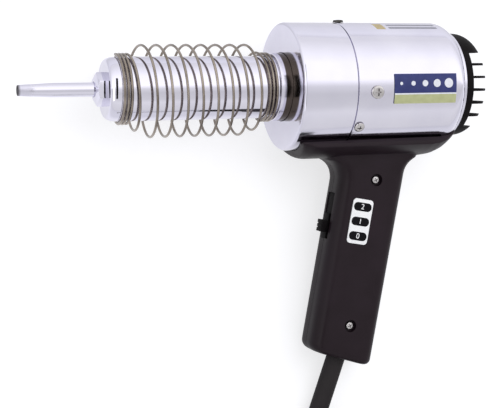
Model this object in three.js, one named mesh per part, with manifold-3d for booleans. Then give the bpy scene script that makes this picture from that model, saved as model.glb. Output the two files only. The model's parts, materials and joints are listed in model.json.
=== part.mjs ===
// Hot air welder: a pistol-shaped hand tool with a motor drum, a heated barrel and a wire guard.
// Millimetres, +Z up. The tool lies on its side, as it is put down on a bench, with its cord beside it.
// It is drawn in a tool frame first: x along the barrel to the rear, y up from the grip to the drum,
// z to the near side. The finished group is then rolled over until drum and grip rest on the bench.
import * as THREE from "three";
import { mergeVertices } from "three/addons/utils/BufferGeometryUtils.js";
import Module from "manifold-3d";

// Clearances
const seat = 0.3; // between pieces that rest on or fit in each other
const running = 0.7; // between the rotor and what stands still

// Drum, made of a front and a rear shell
const drumRadius = 45;
const drumWall = 1.5;
const drumFront = -0.8;
const frontWall = 2;
const rimRound = 2;
const seamX = 38.6;
const skirtLength = 10.4;
const shoulderX = 114;
const shoulderRound = 12.5;
const shoulderSteps = 4;
const mouthInset = 5.4;
const mouthLip = 1.9;
const mouthEdge = 1.9;
const roundSteps = 36;
const innerSteps = 16;

// Screws that hold the drum together, and the motor in it
const seamScrewX = 43.3;
const seamScrewAngles = { top: 90, near: -38, far: 218 };
const seamHeadRadius = 3.7;
const seamHeadHeight = 1.8;
const seamShankRadius = 2;
const motorScrewX = 52.8;
const motorScrewAngles = { near: -5, upper: 117, lower: 240 };
const motorHeadRadius = 4.7;
const motorHeadHeight = 2.2;
const motorShankRadius = 2.5;

// Barrel, its cap, its collar and the nozzle
const barrelRadius = 21.8;
const barrelWall = 1.2;
const barrelFront = -120.4;
const flangeWidth = 5;
const flangeThick = 2;
const collarLength = 8.6; // in front of the drum
const collarWall = 1.7;
const collarEdge = 0.6;
const domeLength = 8.3;
const domeStart = 14;
const domeSteps = 4;
const spigotLength = 5;
const nutHex = 20;
const nutLength = 6.2;
const nutFace = 1.7;
const nutFaceRadius = 7.4;
const nutChamfer = 2.4;
const threadRadius = 8.4;
const nozzleFlange = 1.2;
const nozzleRadius = 4.8;
const nozzleTipRadius = 3.6;
const nozzleBore = 2.25;
const nozzleStraight = 28.2;
const nozzleTaper = 22.7;
const airHole = 4;

// Wire guard round the barrel
const wireRadius = 0.9;
const guardRadius = 31.1;
const guardSag = 1.7;
const guardPitch = 10.54;
const guardFirstTop = -102.3;
const guardOpenTurns = 7;
const guardFrontEnd = -119.9;
const guardFrontPitch = 2.45;
const guardRearPitch = 2.6;
const guardSteps = 16;
const guardSides = 5;

// Heater inside the barrel
const sleeveWall = 0.8;
const elementRoom = 5.5; // between the core's lobes and the sleeve
const coreGroove = 8;
const coreLobes = 6;
const coreFront = -112;
const coreRear = -9;
const coreHole = 2.5;
const discThick = 1.5;
const discHole = 2.6;
const elementRadius = 0.7;
const elementTurns = 8;
const elementPitch = 11;
const elementStep = 6;

// Motor and fan on the drum's axis
const shaftRadius = 3;
const shaftFront = 6;
const shaftRear = 113.7;
const fanRadius = 38.5;
const fanPlateX = 9.5;
const fanPlate = 1.5;
const fanWidth = 17;
const fanEye = 15;
const fanHub = 7;
const fanNutHex = 10;
const bladeCount = 8;
const bladeThick = 1.4;
const bladeSweep = 50;
const bafflePlate = 1.5;
const baffleWall = 1.4;
const mountLength = 8;
const mountRing = 6;
const mountArmWidth = 9;
const mountArmThick = 3;
const spokeWidth = 7;
const spokeThick = 5;
const bearingRadius = 8;
const bearingWidth = 5;
const bearingSeatWall = 3;
const rearBearingRadius = 6.5;
const stackFront = 62;
const stackLength = 30;
const stackRadius = 29;
const yokeRadius = 25.5;
const armatureRadius = 16.5;
const poleHalfAngle = 50;
const slotCount = 10;
const slotWidth = 2.6;
const slotDepth = 6;
const overhang = 4.4;
const windingRadius = 14.5;
const commutatorRadius = 10;
const commutatorFront = 98;
const commutatorLength = 10;
const brushWidth = 6;
const brushThick = 5;
const brushLength = 11;
const holderWall = 1;
const holderTop = 33;
const bracketThick = 3;

// Intake cap at the rear
const capSpigot = 8;
const capWall = 3;
const capRing = 6.4;
const capDome = 20.6;
const capSquareness = 2.3;
const capSteps = 6;
const slotPitch = 9.15;
const ribThick = 1.7;
const slotTotal = 6;
const slotCentre = -3.7;

// Grip with its saddle, in two halves
const saddleRadius = 51.4;
const saddleEdge = 50;
const saddleFront = 2.6;
const saddleFrontY = -36;
const saddleLean = 25.6;
const saddleFlat = 104;
const saddleRear = 124.6;
const saddleNose = 10.9;
const saddleNoseDrop = 4.4;
const saddleTailDrop = 9.6;
const gripHalf = 16;
const gripFrontCorner = [9, 11];
const gripRearCorner = [8, 9];
const gripWall = 3;
const gripFrontX = 39.9;
const gripFrontY = -67;
const gripFrontLean = 11;
const gripRearX = 89.3;
const gripRearY = -72;
const gripRearLean = 11.2;
const gripBottomLean = 18.5;
const gripBottomX = 41;
const gripBottomY = -196.9;
const gripFrontRound = 10;
const gripRearRound = 6;
const gripSideRound = 3.6;
const frontFillet = 17;
const rearFillet = 12;
const filletStart = 0.8;
const gripScrews = [
  [66.2, -67.3],
  [45.5, -172],
];
const gripHeadRadius = 2.8;
const gripHeadHeight = 2;
const gripShankRadius = 1.6;
const boreRadius = 4.5;
const boreDepth = 3.2;
const bossWall = 1.5;
const strapThick = 1.5;
const strapHalfAngle = 12;
const tabWidth = 18;

// Slide switch in the front of the grip, and its plate on the near side
const windowTop = -76.2;
const windowLength = 33.6;
const windowWidth = 11;
const switchDepth = 13;
const switchHalf = 8;
const switchShoulder = 2;
const knobBase = 18;
const knobWidth = 8;
const knobThick = 1.3;
const knobRise = 5.6;
const thumbStart = 4.2;
const thumbLength = 8.6;
const switchTravel = 14;
const stemLength = 5;
const stemWidth = 3.4;
const stemDepth = 3;
const legendCentre = [53.2, -96.6];
const legendSize = [16, 32.4];
const legendRound = 2.6;
const legendThick = 0.9;
const legendProud = 0.2;

// Plate on the drum
const plateFront = 65.8;
const plateLength = 48;
const plateLowAngle = -15.5;
const plateHighAngle = 10.5;
const plateThick = 0.5;

// Mains cord, its bend relief and its plug
const cordRadius = 4.3;
const reliefRadius = 6.9;
const reliefTip = 5.7;
const reliefLength = 58;
const reliefTaper = 12;
const reliefLean = 20;
const reliefFlange = 9.4;
const reliefFlangeThick = 2.6;
const coilMean = 49;
const coilTurns = 7;
const coilLayers = 4;
const coilGap = 0.7;
const coilCentre = [78, -208.5];
const coilEntry = 161.5;
const coilSteps = 18;
const coilSides = 6;
const cordSides = 8;
const stepLength = 20;
const tailRoute = [
  [12, -226, 29.7],
  [5, -246, 20.7],
  [-3, -265, 11],
  [-12, -282, 5.2],
  [-26, -296, 4.3],
  [-46, -302, 4.3],
  [-66, -297, 4.3],
  [-80, -283, 4.3],
  [-86, -264, 4.6],
  [-86.5, -247, 6.9],
  [-86.5, -236, 7.5],
];
const tieWidth = 9;
const tieThick = 0.9;
const plugNeckLength = 14;
const plugLength = 24;
const plugWidth = 24;
const plugHeight = 15;
const plugNeck = 5.6;
const pinLength = 17;
const pinWidth = 6.3;
const pinThick = 1.5;
const pinSpacing = 12.7;

const wasm = await Module();
wasm.setup();

// Materials
const finish = (color, roughness, metalness) =>
  new THREE.MeshStandardMaterial({ color, roughness, metalness });
const chrome = finish(0xdfe0e8, 0.08, 1);
const steel = finish(0xb4b2ac, 0.3, 1);
const wire = finish(0xa79c8c, 0.25, 1);
const blackPlastic = finish(0x1d1b1e, 0.5, 0);
const rubber = finish(0x201c1e, 0.8, 0);
const castAlloy = finish(0xa8a8aa, 0.5, 0.9);
const ironCore = finish(0x5c5c60, 0.55, 0.8);
const copper = finish(0xb0643a, 0.35, 1);
const brass = finish(0xb8974e, 0.3, 1);
const carbon = finish(0x2a2a2c, 0.6, 0.1);
const ceramic = finish(0xe3dccb, 0.8, 0);
const mica = finish(0xc9b48c, 0.6, 0);
const fanPlastic = finish(0x2e3238, 0.5, 0);
const plateBlue = finish(0x2f4d8c, 0.4, 0);
const legendWhite = finish(0xf0f0ee, 0.5, 0);

// A closed mesh as a solid that can be joined and cut
function solid(geometry) {
  const bare = geometry.index ? geometry.toNonIndexed() : geometry.clone();
  for (const name of Object.keys(bare.attributes)) {
    if (name !== "position") bare.deleteAttribute(name);
  }
  const merged = mergeVertices(bare, 1e-4);
  return new wasm.Manifold(
    new wasm.Mesh({
      numProp: 3,
      vertProperties: merged.attributes.position.array,
      triVerts: new Uint32Array(merged.index.array),
    }),
  );
}

// A solid as a mesh's geometry
function surface(body) {
  const mesh = body.getMesh();
  const geometry = new THREE.BufferGeometry();
  geometry.setAttribute("position", new THREE.BufferAttribute(mesh.vertProperties.slice(), 3));
  geometry.setIndex(new THREE.BufferAttribute(mesh.triVerts.slice(), 1));
  const flat = geometry.toNonIndexed();
  flat.computeVertexNormals();
  return flat;
}

const join = (...bodies) => bodies.reduce((sum, body) => sum.add(body));
const cut = (body, ...tools) => tools.reduce((rest, tool) => rest.subtract(tool), body);
const radians = THREE.MathUtils.degToRad;

// A profile of [x, radius] points turned round the x axis
function turned(profile, steps = roundSteps) {
  let area = 0;
  profile.forEach(([x, r], i) => {
    const [nextX, nextR] = profile[(i + 1) % profile.length];
    area += r * nextX - nextR * x;
  });
  const points = profile.map(([x, r]) => new THREE.Vector2(r, x));
  if (area < 0) points.reverse();
  points.push(points[0].clone());
  return solid(new THREE.LatheGeometry(points, steps).rotateZ(-Math.PI / 2));
}

// A tube or disc round the x axis
function ring(fromX, toX, inner, outer, steps = roundSteps) {
  const profile = [
    [fromX, inner],
    [fromX, outer],
    [toX, outer],
    [toX, inner],
  ];
  return turned(profile, steps);
}

function block(fromX, toX, fromY, toY, fromZ, toZ) {
  const box = new THREE.BoxGeometry(toX - fromX, toY - fromY, toZ - fromZ);
  return solid(box.translate((fromX + toX) / 2, (fromY + toY) / 2, (fromZ + toZ) / 2));
}

// A shape in the x, y plane given thickness along z
function slab(shape, fromZ, toZ, curveSegments = 8) {
  const settings = { depth: toZ - fromZ, bevelEnabled: false, curveSegments };
  return solid(new THREE.ExtrudeGeometry(shape, settings).translate(0, 0, fromZ));
}

// A cross-section seen from the rear, run along x
function bar(shape, fromX, toX, curveSegments = 8) {
  const settings = { depth: toX - fromX, bevelEnabled: false, curveSegments };
  const geometry = new THREE.ExtrudeGeometry(shape, settings);
  return solid(geometry.rotateY(Math.PI / 2).translate(fromX, 0, 0));
}

// A cylinder or cone from one height to another along z
function post(fromZ, toZ, fromRadius, toRadius = fromRadius, sides = 20) {
  const geometry = new THREE.CylinderGeometry(toRadius, fromRadius, toZ - fromZ, sides);
  return solid(geometry.rotateX(Math.PI / 2).translate(0, 0, (fromZ + toZ) / 2));
}

const moved = (body, x, y, z) => body.translate([x, y, z]);

// What is drawn upright along z, set to point outwards from the x axis at an angle
function outwards(body, x, angle) {
  return body.rotate([-angle, 0, 0]).translate([x, 0, 0]);
}

// A sector of a ring in the z, y plane, with its angle counted up from +z
function sector(inner, outer, fromAngle, toAngle) {
  const shape = new THREE.Shape();
  const from = radians(fromAngle);
  const to = radians(toAngle);
  shape.absarc(0, 0, outer, from, to, false);
  shape.absarc(0, 0, inner, to, from, true);
  shape.closePath();
  return shape;
}

function sectorBar(inner, outer, fromAngle, toAngle, fromX, toX, curveSegments = 12) {
  const settings = { depth: toX - fromX, bevelEnabled: false, curveSegments };
  const geometry = new THREE.ExtrudeGeometry(
    sector(inner, outer, 90 - toAngle, 90 - fromAngle),
    settings,
  );
  // the drawn plane's x becomes y and its y becomes z
  const swap = new THREE.Matrix4().makeBasis(
    new THREE.Vector3(0, 1, 0),
    new THREE.Vector3(0, 0, 1),
    new THREE.Vector3(1, 0, 0),
  );
  return solid(geometry.applyMatrix4(swap).translate(fromX, 0, 0));
}

function hexagon(acrossFlats, fromX, toX) {
  const corner = acrossFlats / Math.sqrt(3);
  const geometry = new THREE.CylinderGeometry(corner, corner, toX - fromX, 6);
  geometry.rotateZ(-Math.PI / 2).rotateX(Math.PI / 2);
  return solid(geometry.translate((fromX + toX) / 2, 0, 0));
}

// A round tube along a list of points, each with its own ring of sides
function tube(points, radius, sides) {
  const rings = points.length;
  const positions = [];
  const index = [];
  const tangents = points.map((point, i) => {
    const before = points[Math.max(i - 1, 0)];
    const after = points[Math.min(i + 1, rings - 1)];
    return after.clone().sub(before).normalize();
  });
  const first = Math.abs(tangents[0].x) < 0.9 ? new THREE.Vector3(1, 0, 0) : new THREE.Vector3(0, 1, 0);
  let across = first.sub(tangents[0].clone().multiplyScalar(first.dot(tangents[0]))).normalize();
  points.forEach((point, i) => {
    const along = tangents[i];
    across = across.clone().sub(along.clone().multiplyScalar(across.dot(along))).normalize();
    const side = along.clone().cross(across);
    for (let k = 0; k < sides; k += 1) {
      const turn = (2 * Math.PI * k) / sides;
      const spot = point.clone();
      spot.addScaledVector(across, radius * Math.cos(turn));
      spot.addScaledVector(side, radius * Math.sin(turn));
      positions.push(spot.x, spot.y, spot.z);
    }
  });
  for (let i = 0; i < rings - 1; i += 1) {
    for (let k = 0; k < sides; k += 1) {
      const a = i * sides + k;
      const b = i * sides + ((k + 1) % sides);
      index.push(a, b, a + sides, b, b + sides, a + sides);
    }
  }
  for (let k = 1; k < sides - 1; k += 1) {
    const last = (rings - 1) * sides;
    index.push(0, k + 1, k, last, last + k, last + k + 1);
  }
  const geometry = new THREE.BufferGeometry();
  geometry.setAttribute("position", new THREE.Float32BufferAttribute(positions, 3));
  geometry.setIndex(index);
  return geometry;
}

// The least gap of a wound tube to itself, between centre points more than half a turn apart
function leastGap(points, radius, stepsPerTurn) {
  let least = Infinity;
  for (let i = 0; i < points.length - 1; i += 1) {
    for (let j = i + Math.round(stepsPerTurn / 2); j < points.length - 1; j += 1) {
      for (const share of [0, 0.5]) {
        const other = points[j].clone().lerp(points[j + 1], share);
        least = Math.min(least, points[i].distanceTo(other));
      }
    }
  }
  return least - 2 * radius;
}

const tool = new THREE.Group();
const bench = new THREE.Group();

function add(group, name, shape, material) {
  const geometry = shape.isBufferGeometry ? shape : surface(shape);
  const mesh = new THREE.Mesh(geometry, material);
  mesh.name = name;
  group.add(mesh);
  return mesh;
}

// Nozzle: a turned steel tube with a flange that the union nut clamps
const domeFront = barrelFront - domeLength;
const nutRear = domeFront - seat;
const nutFront = nutRear - nutLength;
const flangeFront = nutFront + nutFace + seat;
const flangeRear = flangeFront + nozzleFlange;
const nozzleTip = nutFront - nozzleStraight - nozzleTaper;
const nozzle = turned([
  [nozzleTip, nozzleBore],
  [nozzleTip, nozzleTipRadius],
  [nutFront - nozzleStraight, nozzleRadius],
  [flangeFront, nozzleRadius],
  [flangeFront, threadRadius],
  [flangeRear, threadRadius],
  [flangeRear, nozzleRadius - 1],
  [nutFront - nozzleStraight, nozzleRadius - 1],
], 20);
add(tool, "nozzle", nozzle, chrome);

// Its union nut: a hexagon whose front corners are turned off to a cone
const nutCorner = nutHex / Math.sqrt(3) + seat;
const nutCone = turned([
  [nutFront, 0],
  [nutFront, nutFaceRadius],
  [nutFront + nutChamfer, nutCorner],
  [nutRear, nutCorner],
  [nutRear, 0],
], 24);
const nut = cut(
  hexagon(nutHex, nutFront - 1, nutRear + 1).intersect(nutCone),
  ring(nutFront - 1, nutFront + nutFace + seat / 2, 0, nozzleRadius + seat, innerSteps),
  ring(nutFront + nutFace, nutRear + 1, 0, threadRadius + seat, innerSteps),
);
add(tool, "nozzle_nut", nut, chrome);

// Barrel cap: a dome with a flat polished front, and a threaded spigot for the nut
const barrelInner = barrelRadius - barrelWall;
const spigotRadius = barrelInner - seat;
const domeProfile = [];
for (let i = 0; i <= domeSteps; i += 1) {
  const share = i / domeSteps;
  domeProfile.push([
    domeFront + (domeLength - seat) * share ** 2,
    domeStart + (barrelRadius - domeStart) * share,
  ]);
}
const capShell = turned([
  [flangeRear + seat, 0],
  [flangeRear + seat, threadRadius],
  [domeFront, threadRadius],
  ...domeProfile,
  [barrelFront - seat, spigotRadius],
  [barrelFront + spigotLength, spigotRadius],
  [barrelFront + spigotLength, 0],
], 24);
const capHollow = turned([
  [flangeRear, 0],
  [flangeRear, airHole],
  [domeFront + 1, airHole],
  [barrelFront, spigotRadius - 2.4],
  [barrelFront + spigotLength + 1, spigotRadius - 2.4],
  [barrelFront + spigotLength + 1, 0],
], innerSteps);
add(tool, "barrel_cap", cut(capShell, capHollow), chrome);

// Barrel: a thin tube, flared inside the drum's front wall
const flangeX = drumFront + frontWall + seat;
const barrel = turned([
  [barrelFront, barrelInner],
  [barrelFront, barrelRadius],
  [flangeX, barrelRadius],
  [flangeX, barrelRadius + flangeWidth],
  [flangeX + flangeThick, barrelRadius + flangeWidth],
  [flangeX + flangeThick, barrelInner],
], 28);
add(tool, "barrel", barrel, chrome);

// Collar: a ring on the barrel that fills the hole in the drum's front wall, up to the flare
const collarFront = drumFront - collarLength;
const collarInner = barrelRadius + seat;
const collarOuter = collarInner + collarWall;
const collar = turned([
  [collarFront, collarInner],
  [collarFront, collarOuter - collarEdge],
  [collarFront + collarEdge, collarOuter],
  [flangeX - seat, collarOuter],
  [flangeX - seat, collarInner],
], 28);
add(tool, "barrel_collar", collar, chrome);

// Heater: a lobed ceramic core between two discs, wound with its element, in a mica sleeve
const sleeveOuter = barrelInner - seat;
const sleeveInner = sleeveOuter - sleeveWall;
const coreRadius = sleeveInner - elementRoom;
const discFront = coreFront - seat - discThick;
const discRear = coreRear + seat + discThick;
add(tool, "mica_sleeve", ring(discFront - 1, discRear + 1, sleeveInner, sleeveOuter, 20), mica);
const lobes = new THREE.Shape();
for (let i = 0; i < coreLobes * 4; i += 1) {
  const angle = (2 * Math.PI * i) / (coreLobes * 4);
  const radius = i % 4 < 2 ? coreRadius : coreGroove;
  const spot = [radius * Math.cos(angle), radius * Math.sin(angle)];
  if (i === 0) lobes.moveTo(...spot);
  else lobes.lineTo(...spot);
}
lobes.closePath();
const coreCentre = new THREE.Path();
coreCentre.absarc(0, 0, coreHole, 0, 2 * Math.PI, true);
lobes.holes.push(coreCentre);
add(tool, "heater_core", bar(lobes, coreFront, coreRear, 6), ceramic);
for (const [place, fromX] of [["front", discFront], ["rear", discRear - discThick]]) {
  let disc = ring(fromX, fromX + discThick, 0, sleeveInner - seat, 20);
  for (let i = 0; i < coreLobes; i += 1) {
    const angle = (360 * (i + 0.63)) / coreLobes;
    const middle = (coreRadius + coreGroove) / 2 + 1;
    const hole = ring(fromX - 1, fromX + discThick + 1, 0, discHole, 6);
    disc = cut(disc, hole.translate([0, 0, middle]).rotate([angle, 0, 0]));
  }
  add(tool, `core_disc_${place}`, disc, mica);
}
const elementWound = (coreRadius + seat + elementRadius) / Math.cos(Math.PI / elementStep);
const elementStart = (coreFront + coreRear - elementTurns * elementPitch) / 2;
const elementPoints = [];
for (let i = 0; i <= elementTurns * elementStep; i += 1) {
  const angle = (2 * Math.PI * i) / elementStep;
  elementPoints.push(
    new THREE.Vector3(
      elementStart + (elementPitch * i) / elementStep,
      elementWound * Math.cos(angle),
      elementWound * Math.sin(angle),
    ),
  );
}
add(tool, "heater_element", tube(elementPoints, elementRadius, 4), steel);

// Wire guard: one wire, wound close on the barrel at both ends and wide between them.
// Its turns are counted from the first wide turn's top, and a turn runs top, near side, bottom, far side.
const guardTight = (barrelRadius + seat + wireRadius) / Math.cos(Math.PI / guardSteps);
const guardFrontTurns = 3;
const guardFrontLast = guardFrontEnd + guardFrontTurns * guardFrontPitch;
const guardRearTurns = 2.5;
const guardRearEnd = collarFront - 2 * seat - wireRadius;
const guardRearFirst = guardRearEnd - guardRearTurns * guardRearPitch;
const guardWideEnd = guardFirstTop + guardOpenTurns * guardPitch;
const smooth = (share) => share * share * (3 - 2 * share);
const guardPoints = [];
const guardStart = -1 - guardFrontTurns;
const guardEnd = guardOpenTurns + 1.25 + guardRearTurns;
for (let i = 0; i <= Math.round((guardEnd - guardStart) * guardSteps); i += 1) {
  const turn = guardStart + i / guardSteps;
  let x = guardFirstTop + turn * guardPitch;
  let wide = 1;
  if (turn < -1) x = guardFrontLast + (turn + 1) * guardFrontPitch;
  else if (turn < 0) x = THREE.MathUtils.lerp(guardFrontLast, guardFirstTop, turn + 1);
  if (turn < 0) wide = turn < -1 ? 0 : smooth(turn + 1);
  const past = turn - guardOpenTurns;
  if (past > 1.25) {
    x = guardRearFirst + (past - 1.25) * guardRearPitch;
    wide = 0;
  } else if (past > 0) {
    x = THREE.MathUtils.lerp(guardWideEnd, guardRearFirst, past / 1.25);
    wide = 1 - smooth(past / 1.25);
  }
  const radius = THREE.MathUtils.lerp(guardTight, guardRadius, wide);
  const angle = 2 * Math.PI * turn;
  guardPoints.push(
    new THREE.Vector3(x, radius * Math.cos(angle) - guardSag * wide, radius * Math.sin(angle)),
  );
}
for (const [end, next] of [[0, 1], [guardPoints.length - 1, guardPoints.length - 2]]) {
  const out = guardPoints[end].clone().sub(guardPoints[next]).setLength(2 * wireRadius);
  const tip = guardPoints[end].clone().add(out);
  if (end === 0) guardPoints.unshift(tip);
  else guardPoints.push(tip);
}
console.log("wire guard: least gap to itself", leastGap(guardPoints, wireRadius, guardSteps).toFixed(2));
add(tool, "coil_guard", tube(guardPoints, wireRadius, guardSides), wire);

// Front shell: a spun cup with a flat polished face and a skirt that enters the rear shell
const drumInner = drumRadius - drumWall;
const skirtOuter = drumInner - seat;
const skirtInner = skirtOuter - drumWall;
const rimArc = [];
for (let i = 0; i <= 3; i += 1) {
  const turn = (Math.PI / 2) * (i / 3);
  rimArc.push([
    drumFront + rimRound - rimRound * Math.cos(turn),
    drumRadius - rimRound + rimRound * Math.sin(turn),
  ]);
}
const frontShell = turned([
  [drumFront, collarOuter + seat],
  ...rimArc,
  [seamX, drumRadius],
  [seamX, skirtOuter],
  [seamX + skirtLength, skirtOuter],
  [seamX + skirtLength, skirtInner],
  [seamX - 2, skirtInner],
  [seamX - 2, drumInner],
  [drumFront + frontWall, drumInner],
  [drumFront + frontWall, collarOuter + seat],
]);

// Rear shell: a drawn cup whose rear edge is rolled in to a mouth for the intake cap
const mouthRadius = drumRadius - mouthInset;
const shoulderEnd = Math.acos(1 - mouthInset / shoulderRound);
const shoulder = (radius, steps) => {
  const points = [];
  for (let i = 0; i <= steps; i += 1) {
    const turn = shoulderEnd * (i / steps);
    points.push([
      shoulderX + radius * Math.sin(turn),
      drumRadius - shoulderRound + radius * Math.cos(turn),
    ]);
  }
  return points;
};
const shoulderOuter = shoulder(shoulderRound, shoulderSteps);
const shoulderInner = shoulder(shoulderRound - drumWall, shoulderSteps);
const mouthX = shoulderOuter[shoulderSteps][0] + mouthLip;
const rearShell = turned([
  [seamX + seat, drumInner],
  [seamX + seat, drumRadius],
  ...shoulderOuter,
  [mouthX, mouthRadius],
  [mouthX, mouthRadius - mouthEdge],
  [shoulderInner[shoulderSteps][0], mouthRadius - mouthEdge],
  ...shoulderInner.slice().reverse(),
]);

const seamHoles = Object.values(seamScrewAngles).map((angle) =>
  outwards(post(skirtInner - 1, drumRadius + 1, seamShankRadius + seat, undefined, 8), seamScrewX, angle),
);
const motorHoles = Object.values(motorScrewAngles).map((angle) =>
  outwards(post(drumInner - 1, drumRadius + 1, motorShankRadius + seat, undefined, 8), motorScrewX, angle),
);
add(tool, "front_shell", cut(frontShell, ...seamHoles), chrome);
add(tool, "rear_shell", cut(rearShell, ...seamHoles, ...motorHoles), chrome);

// A pan-head screw standing out along z
function panScrew(headFrom, headRadius, headHeight, shankRadius, shankTo) {
  const low = headFrom + headHeight * 0.45;
  const high = headFrom + headHeight;
  const headShape = new THREE.LatheGeometry([
    new THREE.Vector2(0, headFrom),
    new THREE.Vector2(headRadius, headFrom),
    new THREE.Vector2(headRadius, low),
    new THREE.Vector2(headRadius * 0.72, high),
    new THREE.Vector2(0, high),
  ], 12);
  const shank = post(shankTo, headFrom + headHeight * 0.3, shankRadius, undefined, 8);
  return join(solid(headShape.rotateX(Math.PI / 2)), shank);
}

const seamScrew = panScrew(
  drumRadius + seat,
  seamHeadRadius,
  seamHeadHeight,
  seamShankRadius,
  skirtInner + seat,
);
for (const [place, angle] of Object.entries(seamScrewAngles)) {
  add(tool, `seam_screw_${place}`, outwards(seamScrew, seamScrewX, angle), steel);
}
const mountOuter = drumInner - seat;
const mountInner = mountOuter - mountRing;
const motorScrew = panScrew(
  drumRadius + seat,
  motorHeadRadius,
  motorHeadHeight,
  motorShankRadius,
  mountInner + 1,
);
for (const [place, angle] of Object.entries(motorScrewAngles)) {
  add(tool, `motor_screw_${place}`, outwards(motorScrew, motorScrewX, angle), steel);
}

// Motor mount: a cast ring with spokes, the front bearing's seat, and arms that hold the field
const mountFront = seamX + skirtLength + seat;
const mountRear = mountFront + mountLength;
const bearingSeatRadius = bearingRadius + seat;
const bearingX = mountFront + 2;
const fieldSeat = stackRadius + seat;
const armEnd = stackFront + stackLength + overhang + 1;
let mount = join(
  ring(mountFront, mountRear, mountInner, mountOuter, 24),
  ring(mountFront + 1, mountFront + 1 + spokeThick + 1, 0, bearingSeatRadius + bearingSeatWall, innerSteps),
);
for (let i = 0; i < 4; i += 1) {
  const angle = 45 + 90 * i;
  const spokeFrom = mountFront + 2;
  const spoke = block(
    spokeFrom, spokeFrom + spokeThick, -spokeWidth / 2, spokeWidth / 2, bearingSeatRadius + 1, mountInner + 1,
  );
  const arm = block(
    spokeFrom, armEnd, -mountArmWidth / 2, mountArmWidth / 2, fieldSeat - 0.5, fieldSeat + mountArmThick,
  );
  mount = join(mount, outwards(spoke, 0, angle), outwards(arm, 0, angle));
}
mount = cut(
  mount,
  ring(bearingX - seat / 2, mountRear, 0, bearingSeatRadius, innerSteps),
  ring(mountFront - 1, mountRear, 0, shaftRadius + running, innerSteps),
  ring(stackFront - seat, armEnd + 1, 0, fieldSeat, 24),
  ...Object.values(motorScrewAngles).map((angle) =>
    outwards(post(mountInner - 1, mountOuter + 1, motorShankRadius + seat, undefined, 8), motorScrewX, angle),
  ),
);
add(tool, "motor_mount", mount, castAlloy);
const bearing = (fromX, outer, inner, width) => ring(fromX, fromX + width, inner, outer, innerSteps);
add(tool, "front_bearing", bearing(bearingX, bearingRadius, shaftRadius + seat, bearingWidth - seat), steel);

// Fan baffle: a cup between the fan and the motor, open in the middle
const baffleX = fanPlateX + fanPlate + fanWidth + 1;
const baffleOuter = skirtInner - seat;
const baffle = turned([
  [baffleX, fanEye],
  [baffleX, baffleOuter],
  [mountFront - seat, baffleOuter],
  [mountFront - seat, baffleOuter - baffleWall],
  [baffleX + bafflePlate, baffleOuter - baffleWall],
  [baffleX + bafflePlate, fanEye],
], 24);
add(tool, "fan_baffle", baffle, castAlloy);

// Field: a laminated ring with two poles, and a coil round each pole
const poleInner = armatureRadius + running;
const stackRear = stackFront + stackLength;
const windowFrom = 90 + poleHalfAngle;
const fieldWindow = (from) => sectorBar(
  poleInner - 1, yokeRadius, from, from + 180 - 2 * poleHalfAngle, stackFront - 1, stackRear + 1, 5,
);
const field = cut(
  ring(stackFront, stackRear, poleInner, stackRadius, 28),
  fieldWindow(windowFrom),
  fieldWindow(windowFrom - 180),
);
add(tool, "field_stack", field, ironCore);
const coilInner = poleInner + 1;
const coilOuter = yokeRadius - seat;
for (const [place, from] of [["upper", 0], ["lower", 180]]) {
  const whole = sectorBar(
    coilInner, coilOuter, from + 2, from + 178, stackFront - overhang, stackRear + overhang, 7,
  );
  const pole = sectorBar(
    coilInner - 2,
    coilOuter + 2,
    from + 90 - poleHalfAngle - 1.2,
    from + 90 + poleHalfAngle + 1.2,
    stackFront - seat,
    stackRear + seat,
    5,
  );
  add(tool, `field_coil_${place}`, cut(whole, pole), copper);
}

// Rotor: shaft, slotted armature with its winding's end turns, commutator and fan
add(tool, "motor_shaft", ring(shaftFront, shaftRear, 0, shaftRadius, 16), steel);
let armature = ring(stackFront + 0.5, stackRear - 0.5, shaftRadius + seat, armatureRadius, 20);
for (let i = 0; i < slotCount; i += 1) {
  const slot = block(
    stackFront, stackRear, -slotWidth / 2, slotWidth / 2, armatureRadius - slotDepth, armatureRadius + 1,
  );
  armature = cut(armature, outwards(slot, 0, (360 * i) / slotCount));
}
add(tool, "armature_core", armature, ironCore);
const endTurn = (fromX, toX) => turned([
  [fromX, shaftRadius + seat],
  [fromX, windingRadius - 3],
  [fromX + (toX - fromX) * 0.3, windingRadius],
  [toX - (toX - fromX) * 0.3, windingRadius],
  [toX, windingRadius - 3],
  [toX, shaftRadius + seat],
], innerSteps);
add(tool, "armature_winding_front", endTurn(mountFront + 8.4, stackFront + 0.2), copper);
add(tool, "armature_winding_rear", endTurn(stackRear - 0.2, commutatorFront - 1.5), copper);
let commutator = ring(
  commutatorFront, commutatorFront + commutatorLength, shaftRadius + seat, commutatorRadius, 20,
);
for (let i = 0; i < slotCount; i += 1) {
  const groove = block(
    commutatorFront - 1,
    commutatorFront + commutatorLength + 1,
    -0.3,
    0.3,
    commutatorRadius - 0.8,
    commutatorRadius + 1,
  );
  commutator = cut(commutator, outwards(groove, 0, (360 * i) / slotCount));
}
add(tool, "commutator", commutator, copper);

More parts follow.
